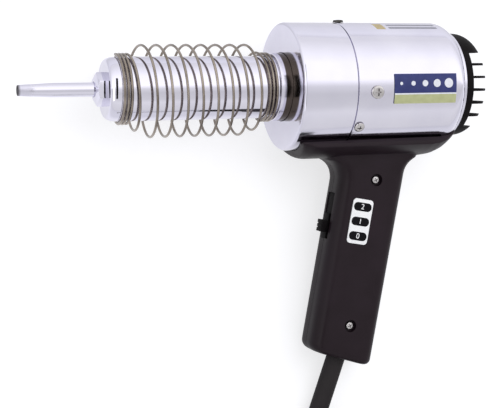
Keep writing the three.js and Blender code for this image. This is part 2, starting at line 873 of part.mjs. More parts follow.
// Fan: a back plate with swept blades and a hub
const bladeShape = new THREE.Shape();
const bladeLine = (offset) => {
  const points = [];
  for (let i = 0; i <= 4; i += 1) {
    const share = i / 4;
    const radius = THREE.MathUtils.lerp(fanEye - 1, fanRadius - 0.4, share);
    const angle = radians(bladeSweep * (1 - (1 - share) ** 1.5)) + offset / radius;
    points.push(new THREE.Vector2(radius * Math.cos(angle), radius * Math.sin(angle)));
  }
  return points;
};
bladeShape.setFromPoints([...bladeLine(bladeThick / 2), ...bladeLine(-bladeThick / 2).reverse()]);
const blade = bar(bladeShape, fanPlateX + 1, fanPlateX + fanPlate + fanWidth, 4);
let fan = join(
  ring(fanPlateX, fanPlateX + fanPlate, shaftRadius + seat, fanRadius, 28),
  ring(fanPlateX, fanPlateX + fanWidth * 0.7, shaftRadius + seat, fanHub, innerSteps),
);
for (let i = 0; i < bladeCount; i += 1) {
  fan = join(fan, blade.rotate([(360 * i) / bladeCount, 0, 0]));
}
add(tool, "fan", fan, fanPlastic);
const fanNut = cut(
  hexagon(fanNutHex, shaftFront + 0.4, fanPlateX - seat),
  ring(shaftFront, fanPlateX, 0, shaftRadius + seat, 20),
);
add(tool, "fan_nut", fanNut, steel);

// Rear bracket: it closes the motor, carries the rear bearing and the two brush holders
const bracketFront = armEnd + seat;
const bracketRear = bracketFront + bracketThick;
const hubFront = commutatorFront + commutatorLength + running + seat;
const hubRear = hubFront + bearingWidth + 1.5;
const hubOuter = rearBearingRadius + seat + bearingSeatWall;
const bracketOuter = fieldSeat + mountArmThick;
const legFrom = commutatorRadius + 3;
const legHalf = 4;
const legThick = 3;
let rearBracket = join(
  ring(bracketFront, bracketRear, legFrom, bracketOuter, 24),
  ring(hubFront, hubRear, 0, hubOuter, innerSteps),
);
for (const angle of [0, 180]) {
  const leg = join(
    block(bracketFront, hubFront + legThick, -legHalf, legHalf, legFrom, legFrom + legThick),
    block(hubFront, hubFront + legThick, -legHalf, legHalf, hubOuter - 2, legFrom + legThick),
  );
  rearBracket = join(rearBracket, outwards(leg, 0, angle));
}
rearBracket = cut(
  rearBracket,
  ring(hubFront - 1, hubFront + bearingWidth, 0, rearBearingRadius + seat, innerSteps),
);
add(tool, "rear_bracket", rearBracket, castAlloy);
add(
  tool,
  "rear_bearing",
  bearing(hubFront + seat, rearBearingRadius, shaftRadius + seat, bearingWidth - 2 * seat),
  steel,
);

// Brush gear: a brass holder, a carbon brush and its spring, above and below the commutator
const holderInnerX = brushThick / 2 + seat;
const brushX = bracketRear + seat + holderWall + holderInnerX;
const holderInnerZ = brushWidth / 2 + seat;
const holderFoot = commutatorRadius + 2.6;
for (const [place, angle] of [["upper", 90], ["lower", 270]]) {
  const holderOuterX = holderInnerX + holderWall;
  const holderOuterZ = holderInnerZ + holderWall;
  const holder = cut(
    block(-holderOuterX, holderOuterX, -holderOuterZ, holderOuterZ, holderFoot, holderTop),
    block(-holderInnerX, holderInnerX, -holderInnerZ, holderInnerZ, holderFoot - 1, holderTop - 1.2),
  );
  add(tool, `brush_holder_${place}`, outwards(holder, brushX, angle), brass);
  const brushFoot = commutatorRadius + seat;
  const brush = block(
    -brushThick / 2, brushThick / 2, -brushWidth / 2, brushWidth / 2, brushFoot, brushFoot + brushLength,
  );
  add(tool, `carbon_brush_${place}`, outwards(brush, brushX, angle), carbon);
  const springPoints = [];
  const springFrom = brushFoot + brushLength + seat + 0.4;
  const springTo = holderTop - 1.2 - seat - 0.4;
  const springTurns = 4;
  for (let i = 0; i <= springTurns * 6; i += 1) {
    const turn = (2 * Math.PI * i) / 6;
    const height = THREE.MathUtils.lerp(springFrom, springTo, i / (springTurns * 6));
    springPoints.push(new THREE.Vector3(1.9 * Math.cos(turn), 1.9 * Math.sin(turn), height));
  }
  const spring = tube(springPoints, 0.35, 4);
  spring.rotateX(-radians(angle)).translate(brushX, 0, 0);
  add(tool, `brush_spring_${place}`, spring, steel);
}

// Intake cap: a moulded dome whose middle band is open between level ribs
const capRadius = mouthRadius - mouthEdge - seat;
const capFront = mouthX - capSpigot;
const ringRear = mouthX + capRing;
const domeCurve = (radius, depth, baseX, steps) => {
  const points = [];
  for (let i = 0; i <= steps; i += 1) {
    const turn = (Math.PI / 2) * (i / steps);
    points.push([
      baseX + depth * Math.sin(turn) ** (2 / capSquareness),
      radius * Math.max(Math.cos(turn), 0) ** (2 / capSquareness),
    ]);
  }
  points[steps][1] = 0;
  return points;
};
const capOutline = domeCurve(capRadius, capDome, ringRear, capSteps);
const capInside = domeCurve(capRadius - capWall, capDome - capWall, ringRear, capSteps - 1);
let intakeCap = turned([
  [capFront, capRadius - capWall],
  [capFront, capRadius],
  ...capOutline,
  ...capInside.slice().reverse(),
], 26);
const bandTop = slotCentre + (slotTotal * slotPitch - ribThick) / 2;
for (let i = 0; i < slotTotal; i += 1) {
  const top = bandTop - i * slotPitch;
  const bottom = top - (slotPitch - ribThick);
  intakeCap = cut(
    intakeCap,
    block(ringRear, ringRear + capDome + 1, bottom, top, -drumRadius, drumRadius),
  );
}
add(tool, "intake_cap", intakeCap, blackPlastic);

// Grip: a loft of rounded sections, wide where it runs into the saddle and slanted at the bottom
const frontDown = new THREE.Vector2(-Math.sin(radians(gripFrontLean)), -Math.cos(radians(gripFrontLean)));
const rearDown = new THREE.Vector2(-Math.sin(radians(gripRearLean)), -Math.cos(radians(gripRearLean)));
const bottomSlope = Math.tan(radians(gripBottomLean));
// where a side of the grip meets the slanted bottom
function foot(startX, startY, down, lift) {
  const bottom = gripBottomY + lift - bottomSlope * (startX - gripBottomX);
  const fall = (bottom - startY) / (down.y + bottomSlope * down.x);
  return new THREE.Vector2(startX + down.x * fall, startY + down.y * fall);
}
const atHeight = (startX, startY, down, y) => startX + (down.x / down.y) * (y - startY);
function filletShift(radius, below) {
  const left = radius - Math.min(Math.max(below, filletStart), radius);
  return radius - Math.sqrt(radius ** 2 - left ** 2);
}

// One section between a front and a rear point, with a round at each corner
function gripSection(front, rear, half) {
  const across = rear.clone().sub(front);
  const length = across.length();
  across.normalize();
  const spare = gripHalf - half;
  const round = ([deep, wide]) => [deep, Math.max(wide - spare, 1)];
  const [frontDeep, frontWide] = round(gripFrontCorner);
  const [rearDeep, rearWide] = round(gripRearCorner);
  const corners = [
    [frontDeep, half - frontWide, frontDeep, frontWide, 90],
    [frontDeep, frontWide - half, frontDeep, frontWide, 180],
    [length - rearDeep, rearWide - half, rearDeep, rearWide, 270],
    [length - rearDeep, half - rearWide, rearDeep, rearWide, 0],
  ];
  const points = [];
  for (const [middle, side, deep, wide, from] of corners) {
    for (let i = 0; i <= 3; i += 1) {
      const turn = radians(from + (90 * i) / 3);
      const spot = front.clone().addScaledVector(across, middle + deep * Math.cos(turn));
      points.push(new THREE.Vector3(spot.x, spot.y, side + wide * Math.sin(turn)));
    }
  }
  return points;
}

// A closed skin over rings of as many points each
function loft(rings) {
  const count = rings[0].length;
  const index = [];
  for (let i = 0; i < rings.length - 1; i += 1) {
    for (let k = 0; k < count; k += 1) {
      const a = i * count + k;
      const b = i * count + ((k + 1) % count);
      index.push(a, b, a + count, b, b + count, a + count);
    }
  }
  const last = (rings.length - 1) * count;
  for (let k = 1; k < count - 1; k += 1) {
    index.push(0, k + 1, k, last, last + k, last + k + 1);
  }
  const geometry = new THREE.BufferGeometry();
  const positions = rings.flat().flatMap((point) => point.toArray());
  geometry.setAttribute("position", new THREE.Float32BufferAttribute(positions, 3));
  geometry.setIndex(index);
  return geometry;
}

// The grip's body, drawn in by an inset and starting at a height
function gripBody(inset, top) {
  const frontX = gripFrontX + inset / Math.cos(radians(gripFrontLean));
  const rearX = gripRearX - inset / Math.cos(radians(gripRearLean));
  const half = gripHalf - inset;
  const heights = [top];
  for (let i = 0; i <= 5; i += 1) {
    const y = -saddleRadius - frontFillet * (1 - Math.cos((Math.PI / 2) * (i / 5)));
    if (y < top - 0.5) heights.push(y);
  }
  const rings = heights.map((y) => {
    const below = -saddleRadius - y;
    const front = new THREE.Vector2(
      atHeight(frontX, gripFrontY, frontDown, y) - filletShift(frontFillet, below),
      y,
    );
    const rear = new THREE.Vector2(
      atHeight(rearX, gripRearY, rearDown, y) + filletShift(rearFillet, below),
      y,
    );
    return gripSection(front, rear, half);
  });
  const lift = inset / Math.cos(radians(gripBottomLean));
  const frontFoot = foot(frontX, gripFrontY, frontDown, lift);
  const rearFoot = foot(rearX, gripRearY, rearDown, lift);
  const along = rearFoot.clone().sub(frontFoot).normalize();
  const frontRound = gripFrontRound - inset;
  const rearRound = gripRearRound - inset / 2;
  const sideRound = gripSideRound - inset / 2;
  for (let i = 0; i <= 4; i += 1) {
    const turn = (Math.PI / 2) * (i / 4);
    const inwards = 1 - Math.cos(turn);
    const upwards = 1 - Math.sin(turn);
    const front = frontFoot.clone()
      .addScaledVector(along, frontRound * inwards)
      .addScaledVector(frontDown, -frontRound * upwards);
    const rear = rearFoot.clone()
      .addScaledVector(along, -rearRound * inwards)
      .addScaledVector(rearDown, -rearRound * upwards);
    rings.push(gripSection(front, rear, half - sideRound * inwards));
  }
  return solid(loft(rings));
}

// The saddle that hugs the drum's underside
const drumHollow = turned([
  [-1, 0],
  [-1, drumRadius + seat],
  [shoulderX, drumRadius + seat],
  ...shoulderOuter.slice(1).map(([x, r]) => [x + seat * 0.7, r + seat * 0.8]),
  [mouthX + seat, mouthRadius + seat],
  [mouthX + seat, 0],
]);
const saddleEnd = saddleRear - saddleFlat;
const saddleShell = turned([
  [saddleFront, 0],
  [saddleFront, saddleRadius - saddleNoseDrop],
  [saddleFront + saddleNose * 0.22, saddleRadius - saddleNoseDrop / 2],
  [saddleFront + saddleNose, saddleRadius],
  [saddleFlat, saddleRadius],
  ...[0.34, 0.62, 0.84, 1].map((share) => [
    saddleFlat + saddleEnd * share,
    saddleRadius - saddleTailDrop * share ** 2.45,
  ]),
  [saddleRear, 0],
]);
const wedge = sectorBar(0.5, saddleRadius + 5, 180 + saddleEdge, 360 - saddleEdge, 0, saddleRear + 1, 4);
const frontSlope = block(-60, 0, -60, 60, -60, 60)
  .rotate([0, 0, saddleLean])
  .translate([saddleFront, saddleFrontY, 0]);
const saddle = cut(saddleShell.intersect(wedge), drumHollow, frontSlope);

// The window for the switch, in a frame set on the middle of the grip's front
const windowMiddle = windowTop - (windowLength / 2) * Math.cos(radians(gripFrontLean));
const switchX = gripFrontX + (windowMiddle - gripFrontY) * Math.tan(radians(gripFrontLean));
const switchFrame = (body) => body.rotate([0, 0, -gripFrontLean]).translate([switchX, windowMiddle, 0]);
const halfWindow = windowLength / 2;
const windowCut = switchFrame(
  block(-3, gripWall + 2, -halfWindow, halfWindow, -windowWidth / 2, windowWidth / 2),
);

// Screws of the grip, from the near side into bosses of the far half
const bosses = gripScrews.map(([x, y]) => moved(
  post(-gripHalf + 1, gripHalf - 1, boreRadius + bossWall, undefined, 12), x, y, 0,
));
const boreFloor = gripHalf - boreDepth;
const screwCuts = gripScrews.map(([x, y]) => moved(
  join(
    post(boreFloor, gripHalf + 1, boreRadius, undefined, 16),
    post(-gripHalf + 4, gripHalf, gripShankRadius + seat, undefined, 8),
  ), x, y, 0,
));

// The steel strap under the drum, with a tab that the upper grip screw passes through
const [tabX, tabY] = gripScrews[0];
const tabHalf = 1.2;
const strapInner = drumRadius + seat;
const strap = (spare) => join(
  sectorBar(
    strapInner - spare,
    strapInner + strapThick + spare,
    270 - strapHalfAngle - spare,
    270 + strapHalfAngle + spare,
    tabX - tabWidth - spare,
    tabX + tabWidth + spare,
    6,
  ),
  block(
    tabX - tabWidth / 2 - spare,
    tabX + tabWidth / 2 + spare,
    tabY - 7 - spare,
    -strapInner - strapThick / 2,
    -tabHalf - spare,
    tabHalf + spare,
  ),
);
const screwPassage = moved(post(-6, 6, gripShankRadius + seat, undefined, 8), tabX, tabY, 0);
add(tool, "grip_strap", cut(strap(0), screwPassage), steel);

// The bend relief leaves the grip through its slanted bottom
const reliefStart = new THREE.Vector3(gripBottomX, gripBottomY, 0);
const reliefWay = new THREE.Vector3(-Math.sin(radians(reliefLean)), -Math.cos(radians(reliefLean)), 0);
const reliefFrame = (body) => body
  .rotate([90, 0, 0])
  .rotate([0, 0, -reliefLean])
  .translate(reliefStart.toArray());
const reliefHole = reliefFrame(join(
  post(-gripWall - 3, 3, reliefRadius + seat, undefined, 20),
  post(-gripWall - 8, -gripWall, reliefFlange + seat, undefined, 20),
));
const relief = reliefFrame(join(
  post(-gripWall - seat - reliefFlangeThick, -gripWall - seat, reliefFlange, undefined, 20),
  post(-gripWall - 1, reliefLength - reliefTaper, reliefRadius, undefined, 20),
  post(reliefLength - reliefTaper, reliefLength, reliefRadius, reliefTip, 20),
));
add(tool, "strain_relief", relief, rubber);

const lowScrewPocket = outwards(
  post(drumRadius - 1, drumRadius + seat + motorHeadHeight + seat, motorHeadRadius + 2 * seat, undefined, 20),
  motorScrewX,
  motorScrewAngles.lower,
);
const legendFrame = (body) => body
  .rotate([0, 0, -gripFrontLean])
  .translate([...legendCentre, 0]);
const legendShape = (spare) => {
  const half = legendSize.map((size) => size / 2 + spare);
  const shape = new THREE.Shape();
  shape.moveTo(-half[0] + legendRound, -half[1]);
  shape.lineTo(half[0] - legendRound, -half[1]);
  shape.absarc(half[0] - legendRound, -half[1] + legendRound, legendRound, -Math.PI / 2, 0);
  shape.absarc(half[0] - legendRound, half[1] - legendRound, legendRound, 0, Math.PI / 2);
  shape.absarc(-half[0] + legendRound, half[1] - legendRound, legendRound, Math.PI / 2, Math.PI);
  shape.absarc(-half[0] + legendRound, -half[1] + legendRound, legendRound, Math.PI, 1.5 * Math.PI);
  return shape;
};
const legendTop = gripHalf + legendProud;
const legendPocket = legendFrame(
  slab(legendShape(seat), legendTop - legendThick - seat, gripHalf + 2, 4),
);

const hollow = gripBody(gripWall, -saddleRadius - 1);
const wholeGrip = cut(
  join(
    cut(join(gripBody(0, -drumRadius + 7), saddle), hollow),
    ...bosses.map((boss) => boss.intersect(hollow)),
  ),
  drumHollow,
  ...screwCuts,
  strap(seat),
  windowCut,
  reliefHole,
  lowScrewPocket,
  legendPocket,
);
const halfGap = seat / 2;
const nearHalf = wholeGrip.intersect(block(-50, 200, -300, 50, halfGap, 100));
const farHalf = wholeGrip.intersect(block(-50, 200, -300, 50, -100, -halfGap));
add(tool, "grip_near", nearHalf, blackPlastic);
add(tool, "grip_far", farHalf, blackPlastic);
add(tool, "switch_legend", legendFrame(slab(legendShape(0), legendTop - legendThick, legendTop, 4)), legendWhite);

// Screws of the grip
["upper", "lower"].forEach((place, i) => {
  const [x, y] = gripScrews[i];
  const screw = panScrew(
    boreFloor + seat, gripHeadRadius, gripHeadHeight, gripShankRadius, -gripHalf + 4 + seat,
  );
  add(tool, `grip_screw_${place}`, moved(screw, x, y, 0), steel);
});

// Switch: a body behind the window with a face in it, and a ridged knob that slides on the face
const faceSink = 0.6;
const faceHalf = windowWidth / 2 - seat;
const stemHalf = stemWidth / 2 + seat;
const knobLow = -halfWindow + seat;
const stemFrom = knobLow + (knobBase - stemLength) / 2;
const switchBody = cut(
  join(
    block(faceSink, gripWall + 2, -halfWindow + seat, halfWindow - seat, -faceHalf, faceHalf),
    block(
      gripWall + 1.4,
      switchDepth,
      -halfWindow - switchShoulder,
      halfWindow + switchShoulder,
      -switchHalf,
      switchHalf,
    ),
  ),
  block(
    faceSink - 1,
    faceSink + stemDepth + 2 * seat,
    stemFrom - seat,
    stemFrom + stemLength + switchTravel + seat,
    -stemHalf,
    stemHalf,
  ),
);
add(tool, "switch_body", switchFrame(switchBody), blackPlastic);
const knobTop = faceSink - seat - knobThick;
const thumbFrom = knobLow + thumbStart;
let knob = join(
  block(knobTop, faceSink - seat, knobLow, knobLow + knobBase, -knobWidth / 2, knobWidth / 2),
  block(
    faceSink - seat - 0.2, faceSink + stemDepth - seat, stemFrom, stemFrom + stemLength, -stemWidth / 2, stemWidth / 2,
  ),
  block(
    knobTop - knobRise + knobThick, knobTop + 0.2, thumbFrom, thumbFrom + thumbLength, -knobWidth / 2, knobWidth / 2,
  ),
);
const ridgePitch = thumbLength / 4;
for (let i = 0; i < 4; i += 1) {
  const middle = thumbFrom + ridgePitch * (i + 0.5);
  const top = knobTop - knobRise + knobThick;
  knob = cut(
    knob,
    block(top - 1, top + 0.9, middle - ridgePitch * 0.22, middle + ridgePitch * 0.22, -knobWidth, knobWidth),
  );
}
add(tool, "switch_knob", switchFrame(knob), blackPlastic);

// Plate on the drum's near side
const plate = sectorBar(
  drumRadius + seat,
  drumRadius + seat + plateThick,
  plateLowAngle,
  plateHighAngle,
  plateFront,
  plateFront + plateLength,
  6,
);
add(tool, "name_plate", plate, plateBlue);

// The tool rolls over until the grip's far side lies as low as the drum
const lowest = (name) => new THREE.Box3().setFromObject(tool.getObjectByName(name), true).min.z;
for (let i = 0; i < 8; i += 1) {
  tool.updateMatrixWorld(true);
  tool.rotation.x += (lowest("grip_far") - lowest("rear_shell")) / -gripBottomY;
}
tool.updateMatrixWorld(true);

// The origin is on the bench, under the middle of the tool without its cord
const toolBox = new THREE.Box3().setFromObject(tool, true);
const toolMiddle = toolBox.getCenter(new THREE.Vector3());
tool.position.set(-toolMiddle.x, -toolMiddle.y, -toolBox.min.z);
tool.updateMatrixWorld(true);

// Cord: out of the relief, into a flat round coil with a tie, and on to the plug
const cordStart = reliefStart.clone().addScaledVector(reliefWay, reliefLength + seat).applyMatrix4(tool.matrixWorld);
const cordWay = reliefWay.clone().transformDirection(tool.matrixWorld);
const coilPitch = 2 * cordRadius + coilGap;
const layerTurns = coilTurns / coilLayers;
const coilSpan = coilPitch * layerTurns;
const coilBase = cordRadius + tieThick + seat;
const entry = radians(coilEntry);
function coilPoint(turn) {
  const layer = Math.min(Math.floor(turn / layerTurns), coilLayers - 1);
  const within = turn - layer * layerTurns;
  const inwards = layer % 2 === 0 ? within : layerTurns - within;
  const radius = coilMean + coilSpan / 2 - coilPitch * inwards;
  let climb = layer;
  const toNext = layerTurns - within;
  if (layer < coilLayers - 1 && toNext < 0.25) climb += smooth(0.5 - 2 * toNext);
  if (layer > 0 && within < 0.25) climb += smooth(0.5 + 2 * within) - 1;
  const angle = entry + 2 * Math.PI * turn;
  return new THREE.Vector3(
    coilCentre[0] + radius * Math.cos(angle),
    coilCentre[1] + radius * Math.sin(angle),
    coilBase + coilPitch * climb,
  );
}
const coilPoints = [];
for (let i = 0; i <= coilTurns * coilSteps; i += 1) {
  coilPoints.push(coilPoint(i / coilSteps));
}
console.log("cord coil: least gap to itself", leastGap(coilPoints, cordRadius, coilSteps).toFixed(2));
const coilIn = new THREE.Vector3(Math.sin(entry), -Math.cos(entry), 0);
const coilFirst = coilPoints[0].clone().addScaledVector(coilIn, 2 * cordRadius);
const coilLast = coilPoints[coilPoints.length - 1].clone().addScaledVector(coilIn, -2 * cordRadius);
add(bench, "cord_coil", tube([coilFirst, ...coilPoints, coilLast], cordRadius, coilSides), rubber);

// A free stretch of cord: its round section run along a curve through points
const cordSection = new THREE.Shape();
for (let i = 0; i < cordSides; i += 1) {
  const turn = (2 * Math.PI * i) / cordSides;
  const spot = [cordRadius * Math.cos(turn), cordRadius * Math.sin(turn)];
  if (i === 0) cordSection.moveTo(...spot);
  else cordSection.lineTo(...spot);
}
cordSection.closePath();
function stretch(name, points) {
  const extrudePath = new THREE.CatmullRomCurve3(points, false, "centripetal");
  const length = extrudePath.getLength();
  console.log(name, "is", length.toFixed(0), "mm long");
  const steps = Math.ceil(length / stepLength);
  const geometry = new THREE.ExtrudeGeometry(cordSection, { steps, extrudePath });
  add(bench, name, solid(geometry), rubber);
}
const leadEnd = coilFirst.clone().addScaledVector(coilIn, seat);
const lead = [
  cordStart,
  cordStart.clone().addScaledVector(cordWay, 2 * cordRadius),
  leadEnd.clone().addScaledVector(coilIn, 2 * cordRadius),
  leadEnd,
];
stretch("cord_lead", lead);
const tailStart = coilLast.clone().addScaledVector(coilIn, -seat);
const tail = [
  tailStart,
  tailStart.clone().addScaledVector(coilIn, -2 * cordRadius),
  ...tailRoute.map((spot) => new THREE.Vector3(...spot)),
];
stretch("cord_tail", tail);

// Tie: a strap once round the coil's turns
const bundleIn = (coilMean - coilSpan / 2) * Math.cos(Math.PI / coilSteps) - cordRadius - 2 * seat;
const bundleOut = coilMean + coilSpan / 2 + cordRadius + seat;
const bundleLow = coilBase - cordRadius - seat;
const bundleHigh = coilBase + (coilLayers - 1) * coilPitch + cordRadius + seat;
const strapShape = (spare) => {
  const shape = new THREE.Shape();
  const [left, right] = [bundleIn - spare, bundleOut + spare];
  const [low, high] = [bundleLow - spare, bundleHigh + spare];
  const round = 2 + spare;
  shape.moveTo(left + round, low);
  shape.lineTo(right - round, low);
  shape.absarc(right - round, low + round, round, -Math.PI / 2, 0);
  shape.absarc(right - round, high - round, round, 0, Math.PI / 2);
  shape.absarc(left + round, high - round, round, Math.PI / 2, Math.PI);
  shape.absarc(left + round, low + round, round, Math.PI, 1.5 * Math.PI);
  return shape;
};
const tie = cut(
  slab(strapShape(tieThick), -tieWidth / 2, tieWidth / 2, 2),
  slab(strapShape(0), -tieWidth, tieWidth, 2),
);
add(bench, "cord_tie", tie.rotate([90, 0, 0]).translate([coilCentre[0], coilCentre[1], 0]), blackPlastic);

// Plug: a moulded body on the cord's end, with two flat pins
const plugEnd = tail[tail.length - 1];
function plugSection(halfWidth, halfHeight, round, y) {
  const points = [];
  for (const [sideX, sideZ, from] of [[1, 1, 0], [-1, 1, 90], [-1, -1, 180], [1, -1, 270]]) {
    for (let i = 0; i <= 2; i += 1) {
      const turn = radians(from + 45 * i);
      points.push(new THREE.Vector3(
        plugEnd.x + sideX * (halfWidth - round) + round * Math.cos(turn),
        plugEnd.y + seat + y,
        plugEnd.z + sideZ * (halfHeight - round) + round * Math.sin(turn),
      ));
    }
  }
  return points.reverse();
}
const plugFront = plugNeckLength + plugLength;
const plugBody = loft([
  plugSection(plugNeck, plugNeck, plugNeck - 0.1, 0),
  plugSection(plugNeck + 0.8, plugNeck + 0.8, plugNeck, plugNeckLength - 3),
  plugSection(plugWidth / 2 - 1.5, plugHeight / 2 - 0.5, 4, plugNeckLength + 2),
  plugSection(plugWidth / 2, plugHeight / 2, 4, plugNeckLength + 6),
  plugSection(plugWidth / 2, plugHeight / 2, 4, plugFront - 1.5),
  plugSection(plugWidth / 2 - 1.2, plugHeight / 2 - 1.2, 3, plugFront),
]);
add(bench, "plug_body", plugBody, rubber);
for (const [place, side] of [["left", -1], ["right", 1]]) {
  const middle = (side * pinSpacing) / 2;
  const pin = block(
    middle - pinThick / 2,
    middle + pinThick / 2,
    plugFront + 2 * seat,
    plugFront + 2 * seat + pinLength,
    -pinWidth / 2,
    pinWidth / 2,
  );
  add(bench, `plug_pin_${place}`, pin.translate(plugEnd.toArray()), brass);
}

const part = new THREE.Group();
part.add(tool, bench);

export default part;
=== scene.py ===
# A hot air welder that lies on its far side on a pale bench, with its mains cord coiled beside it.
import json
import math

import bmesh
import bpy
from mathutils import Matrix, Vector


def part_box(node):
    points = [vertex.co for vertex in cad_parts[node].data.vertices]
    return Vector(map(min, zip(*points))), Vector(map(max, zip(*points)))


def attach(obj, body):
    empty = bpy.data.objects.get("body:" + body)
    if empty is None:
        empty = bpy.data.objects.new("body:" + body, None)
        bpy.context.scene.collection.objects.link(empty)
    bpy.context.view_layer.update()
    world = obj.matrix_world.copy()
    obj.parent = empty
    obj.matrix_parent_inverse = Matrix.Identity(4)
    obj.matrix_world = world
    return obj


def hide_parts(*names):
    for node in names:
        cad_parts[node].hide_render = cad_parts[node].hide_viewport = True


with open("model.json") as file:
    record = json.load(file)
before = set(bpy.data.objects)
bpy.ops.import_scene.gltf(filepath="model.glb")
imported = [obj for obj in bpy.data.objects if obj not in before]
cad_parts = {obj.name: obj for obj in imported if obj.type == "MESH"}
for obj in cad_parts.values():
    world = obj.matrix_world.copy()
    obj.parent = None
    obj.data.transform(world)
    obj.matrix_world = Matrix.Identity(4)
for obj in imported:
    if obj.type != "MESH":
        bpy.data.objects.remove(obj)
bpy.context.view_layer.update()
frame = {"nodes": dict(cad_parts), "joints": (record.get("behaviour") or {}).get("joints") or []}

# The tool's own frame, in which its pieces are drawn: x along the barrel to the rear, y up from the grip
# to the drum, z to the near side. The fan's joint gives the barrel's axis, and the way the switch slides
# gives how far the tool has rolled over on the bench. Sizes are in millimetres, placed as metres.
MM = 0.001
joints = {joint["name"]: joint for joint in frame["joints"]}
drum_front = -0.8
axis_y, axis_z = joints["fan_spin"]["pos_m"][1:]
axis_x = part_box("front_shell")[0].x - drum_front * MM
slide = Vector(joints["switch_slide"]["axis"])
roll = math.atan2(slide.z, slide.y)
tool = Matrix.Translation((axis_x, axis_y, axis_z)) @ Matrix.Rotation(roll, 4, "X")

# The camera looks at the near side, a little from the nozzle's end and from above, 0.87 m from where its
# line of sight meets the barrel's plane. Its lens frames 377 mm of that plane in the picture's width.
sensor = 36.0
lens = 88.88
camera_right = Vector((0.9394, -0.0101, 0.3427)).normalized()
camera_up = Vector((0.0453, 0.9945, -0.0948)).normalized()
camera_back = camera_right.cross(camera_up)
camera_place = Vector((-320.6, 9.1, 813.6)) * MM
camera_data = bpy.data.cameras.new("camera")
camera_data.sensor_fit = "HORIZONTAL"
camera_data.sensor_width = sensor
camera_data.lens = lens


def placed(name, data, place):
    """A new object in the scene, with the position and the turn of a place."""
    made = bpy.data.objects.new(name, data)
    made.matrix_world = place
    bpy.context.scene.collection.objects.link(made)
    return made


turn = Matrix((camera_right, camera_up, camera_back)).transposed().to_4x4()
camera = placed("camera", camera_data, tool @ Matrix.Translation(camera_place) @ turn)
bpy.context.scene.camera = camera


# The mains cord is a round lead with a soft black sheath, 8.6 mm thick. It leaves the bend relief near the
# bench, lies in four layers of turns as it was wound for storage, and runs out of the coil to its plug.
cord_radius = 4.3
coil_mean = 49.0
coil_turns = 7
coil_layers = 4
coil_gap = 0.7
coil_centre = (78.0, -208.5)
coil_entry = math.radians(161.5)
climb_turns = 0.5
tie_thick = 0.9
seat = 0.3
relief_start = Vector((41.0, -196.9, 0.0))
relief_lean = math.radians(20.0)
relief_length = 58.0
relief_way = Vector((-math.sin(relief_lean), -math.cos(relief_lean), 0.0))
tail_route = [
    (12, -226, 29.7), (5, -246, 20.7), (-3, -265, 11), (-12, -282, 5.2), (-26, -296, 4.3), (-46, -302, 4.3),
    (-66, -297, 4.3), (-80, -283, 4.3), (-86, -264, 4.6), (-86.5, -247, 6.9), (-86.5, -236, 7.5),
]
bench = Matrix.Identity(4)
coil_pitch = 2 * cord_radius + coil_gap
layer_turns = coil_turns / coil_layers
coil_span = coil_pitch * layer_turns
coil_base = cord_radius + tie_thick + seat


def smooth(share):
    return share * share * (3 - 2 * share)


def coil_point(turns):
    """The cord's middle after so many turns: in and out again at a steady rate, up a layer at each end."""
    layer = min(int(turns / layer_turns), coil_layers - 1)
    within = turns - layer * layer_turns
    inwards = within if layer % 2 == 0 else layer_turns - within
    radius = coil_mean + coil_span / 2 - coil_pitch * inwards
    climb = layer
    to_next = layer_turns - within
    if layer < coil_layers - 1 and to_next < climb_turns / 2:
        climb += smooth(0.5 - to_next / climb_turns)
    if layer > 0 and within < climb_turns / 2:
        climb += smooth(0.5 + within / climb_turns) - 1
    angle = coil_entry + 2 * math.pi * turns
    x = coil_centre[0] + radius * math.cos(angle)
    y = coil_centre[1] + radius * math.sin(angle)
    return Vector((x, y, coil_base + coil_pitch * climb))


def through(points, steps):
    """A smooth centripetal curve through points, with so many steps from each to the next."""
    ends = [2 * points[0] - points[1], *points, 2 * points[-1] - points[-2]]
    line = []
    for i in range(1, len(ends) - 2):
        before, here, there, after = ends[i - 1 : i + 3]
        first, middle, last = [(b - a).length ** 0.5 for a, b in zip(ends[i - 1 :], ends[i : i + 3])]
        leave = (here - before) / first - (there - before) / (first + middle) + (there - here) / middle
        reach = (there - here) / middle - (after - here) / (middle + last) + (after - there) / last
        leave, reach = leave * middle, reach * middle
        for step in range(steps):
            t = step / steps
            line.append(
                here * (2 * t**3 - 3 * t**2 + 1)
                + leave * (t**3 - 2 * t**2 + t)
                + there * (3 * t**2 - 2 * t**3)
                + reach * (t**3 - t**2)
            )
    return [*line, points[-1]]


coil_in = Vector((math.sin(coil_entry), -math.cos(coil_entry), 0.0))
coil_first = coil_point(0) + coil_in * 2 * cord_radius
coil_last = coil_point(coil_turns) - coil_in * 2 * cord_radius
relief_end = tool @ ((relief_start + relief_way * (relief_length + seat)) * MM) / MM
lead_way = (tool.to_3x3() @ relief_way).normalized()
lead_end = coil_first + coil_in * seat
lead = [
    relief_end,
    relief_end + lead_way * 2 * cord_radius,
    lead_end + coil_in * 2 * cord_radius,
    lead_end,
]
tail_start = coil_last - coil_in * seat
tail = [tail_start, tail_start - coil_in * 2 * cord_radius, *[Vector(spot) for spot in tail_route]]
lead_steps, tail_steps, coil_steps = 4, 6, 48
coil = [coil_point(i / coil_steps) for i in range(coil_turns * coil_steps + 1)]
cord_line = [spot * MM for spot in [*through(lead, lead_steps), *coil, *through(tail, tail_steps)]]

cord_curve = bpy.data.curves.new("mains_cord", "CURVE")
cord_curve.dimensions = "3D"
cord_curve.bevel_depth = cord_radius * MM
cord_curve.bevel_resolution = 6
cord_curve.use_fill_caps = True
spline = cord_curve.splines.new("POLY")
spline.points.add(len(cord_line) - 1)
for point, spot in zip(spline.points, cord_line):
    point.co = (*spot, 1.0)
cord = placed("mains_cord", cord_curve, bench)


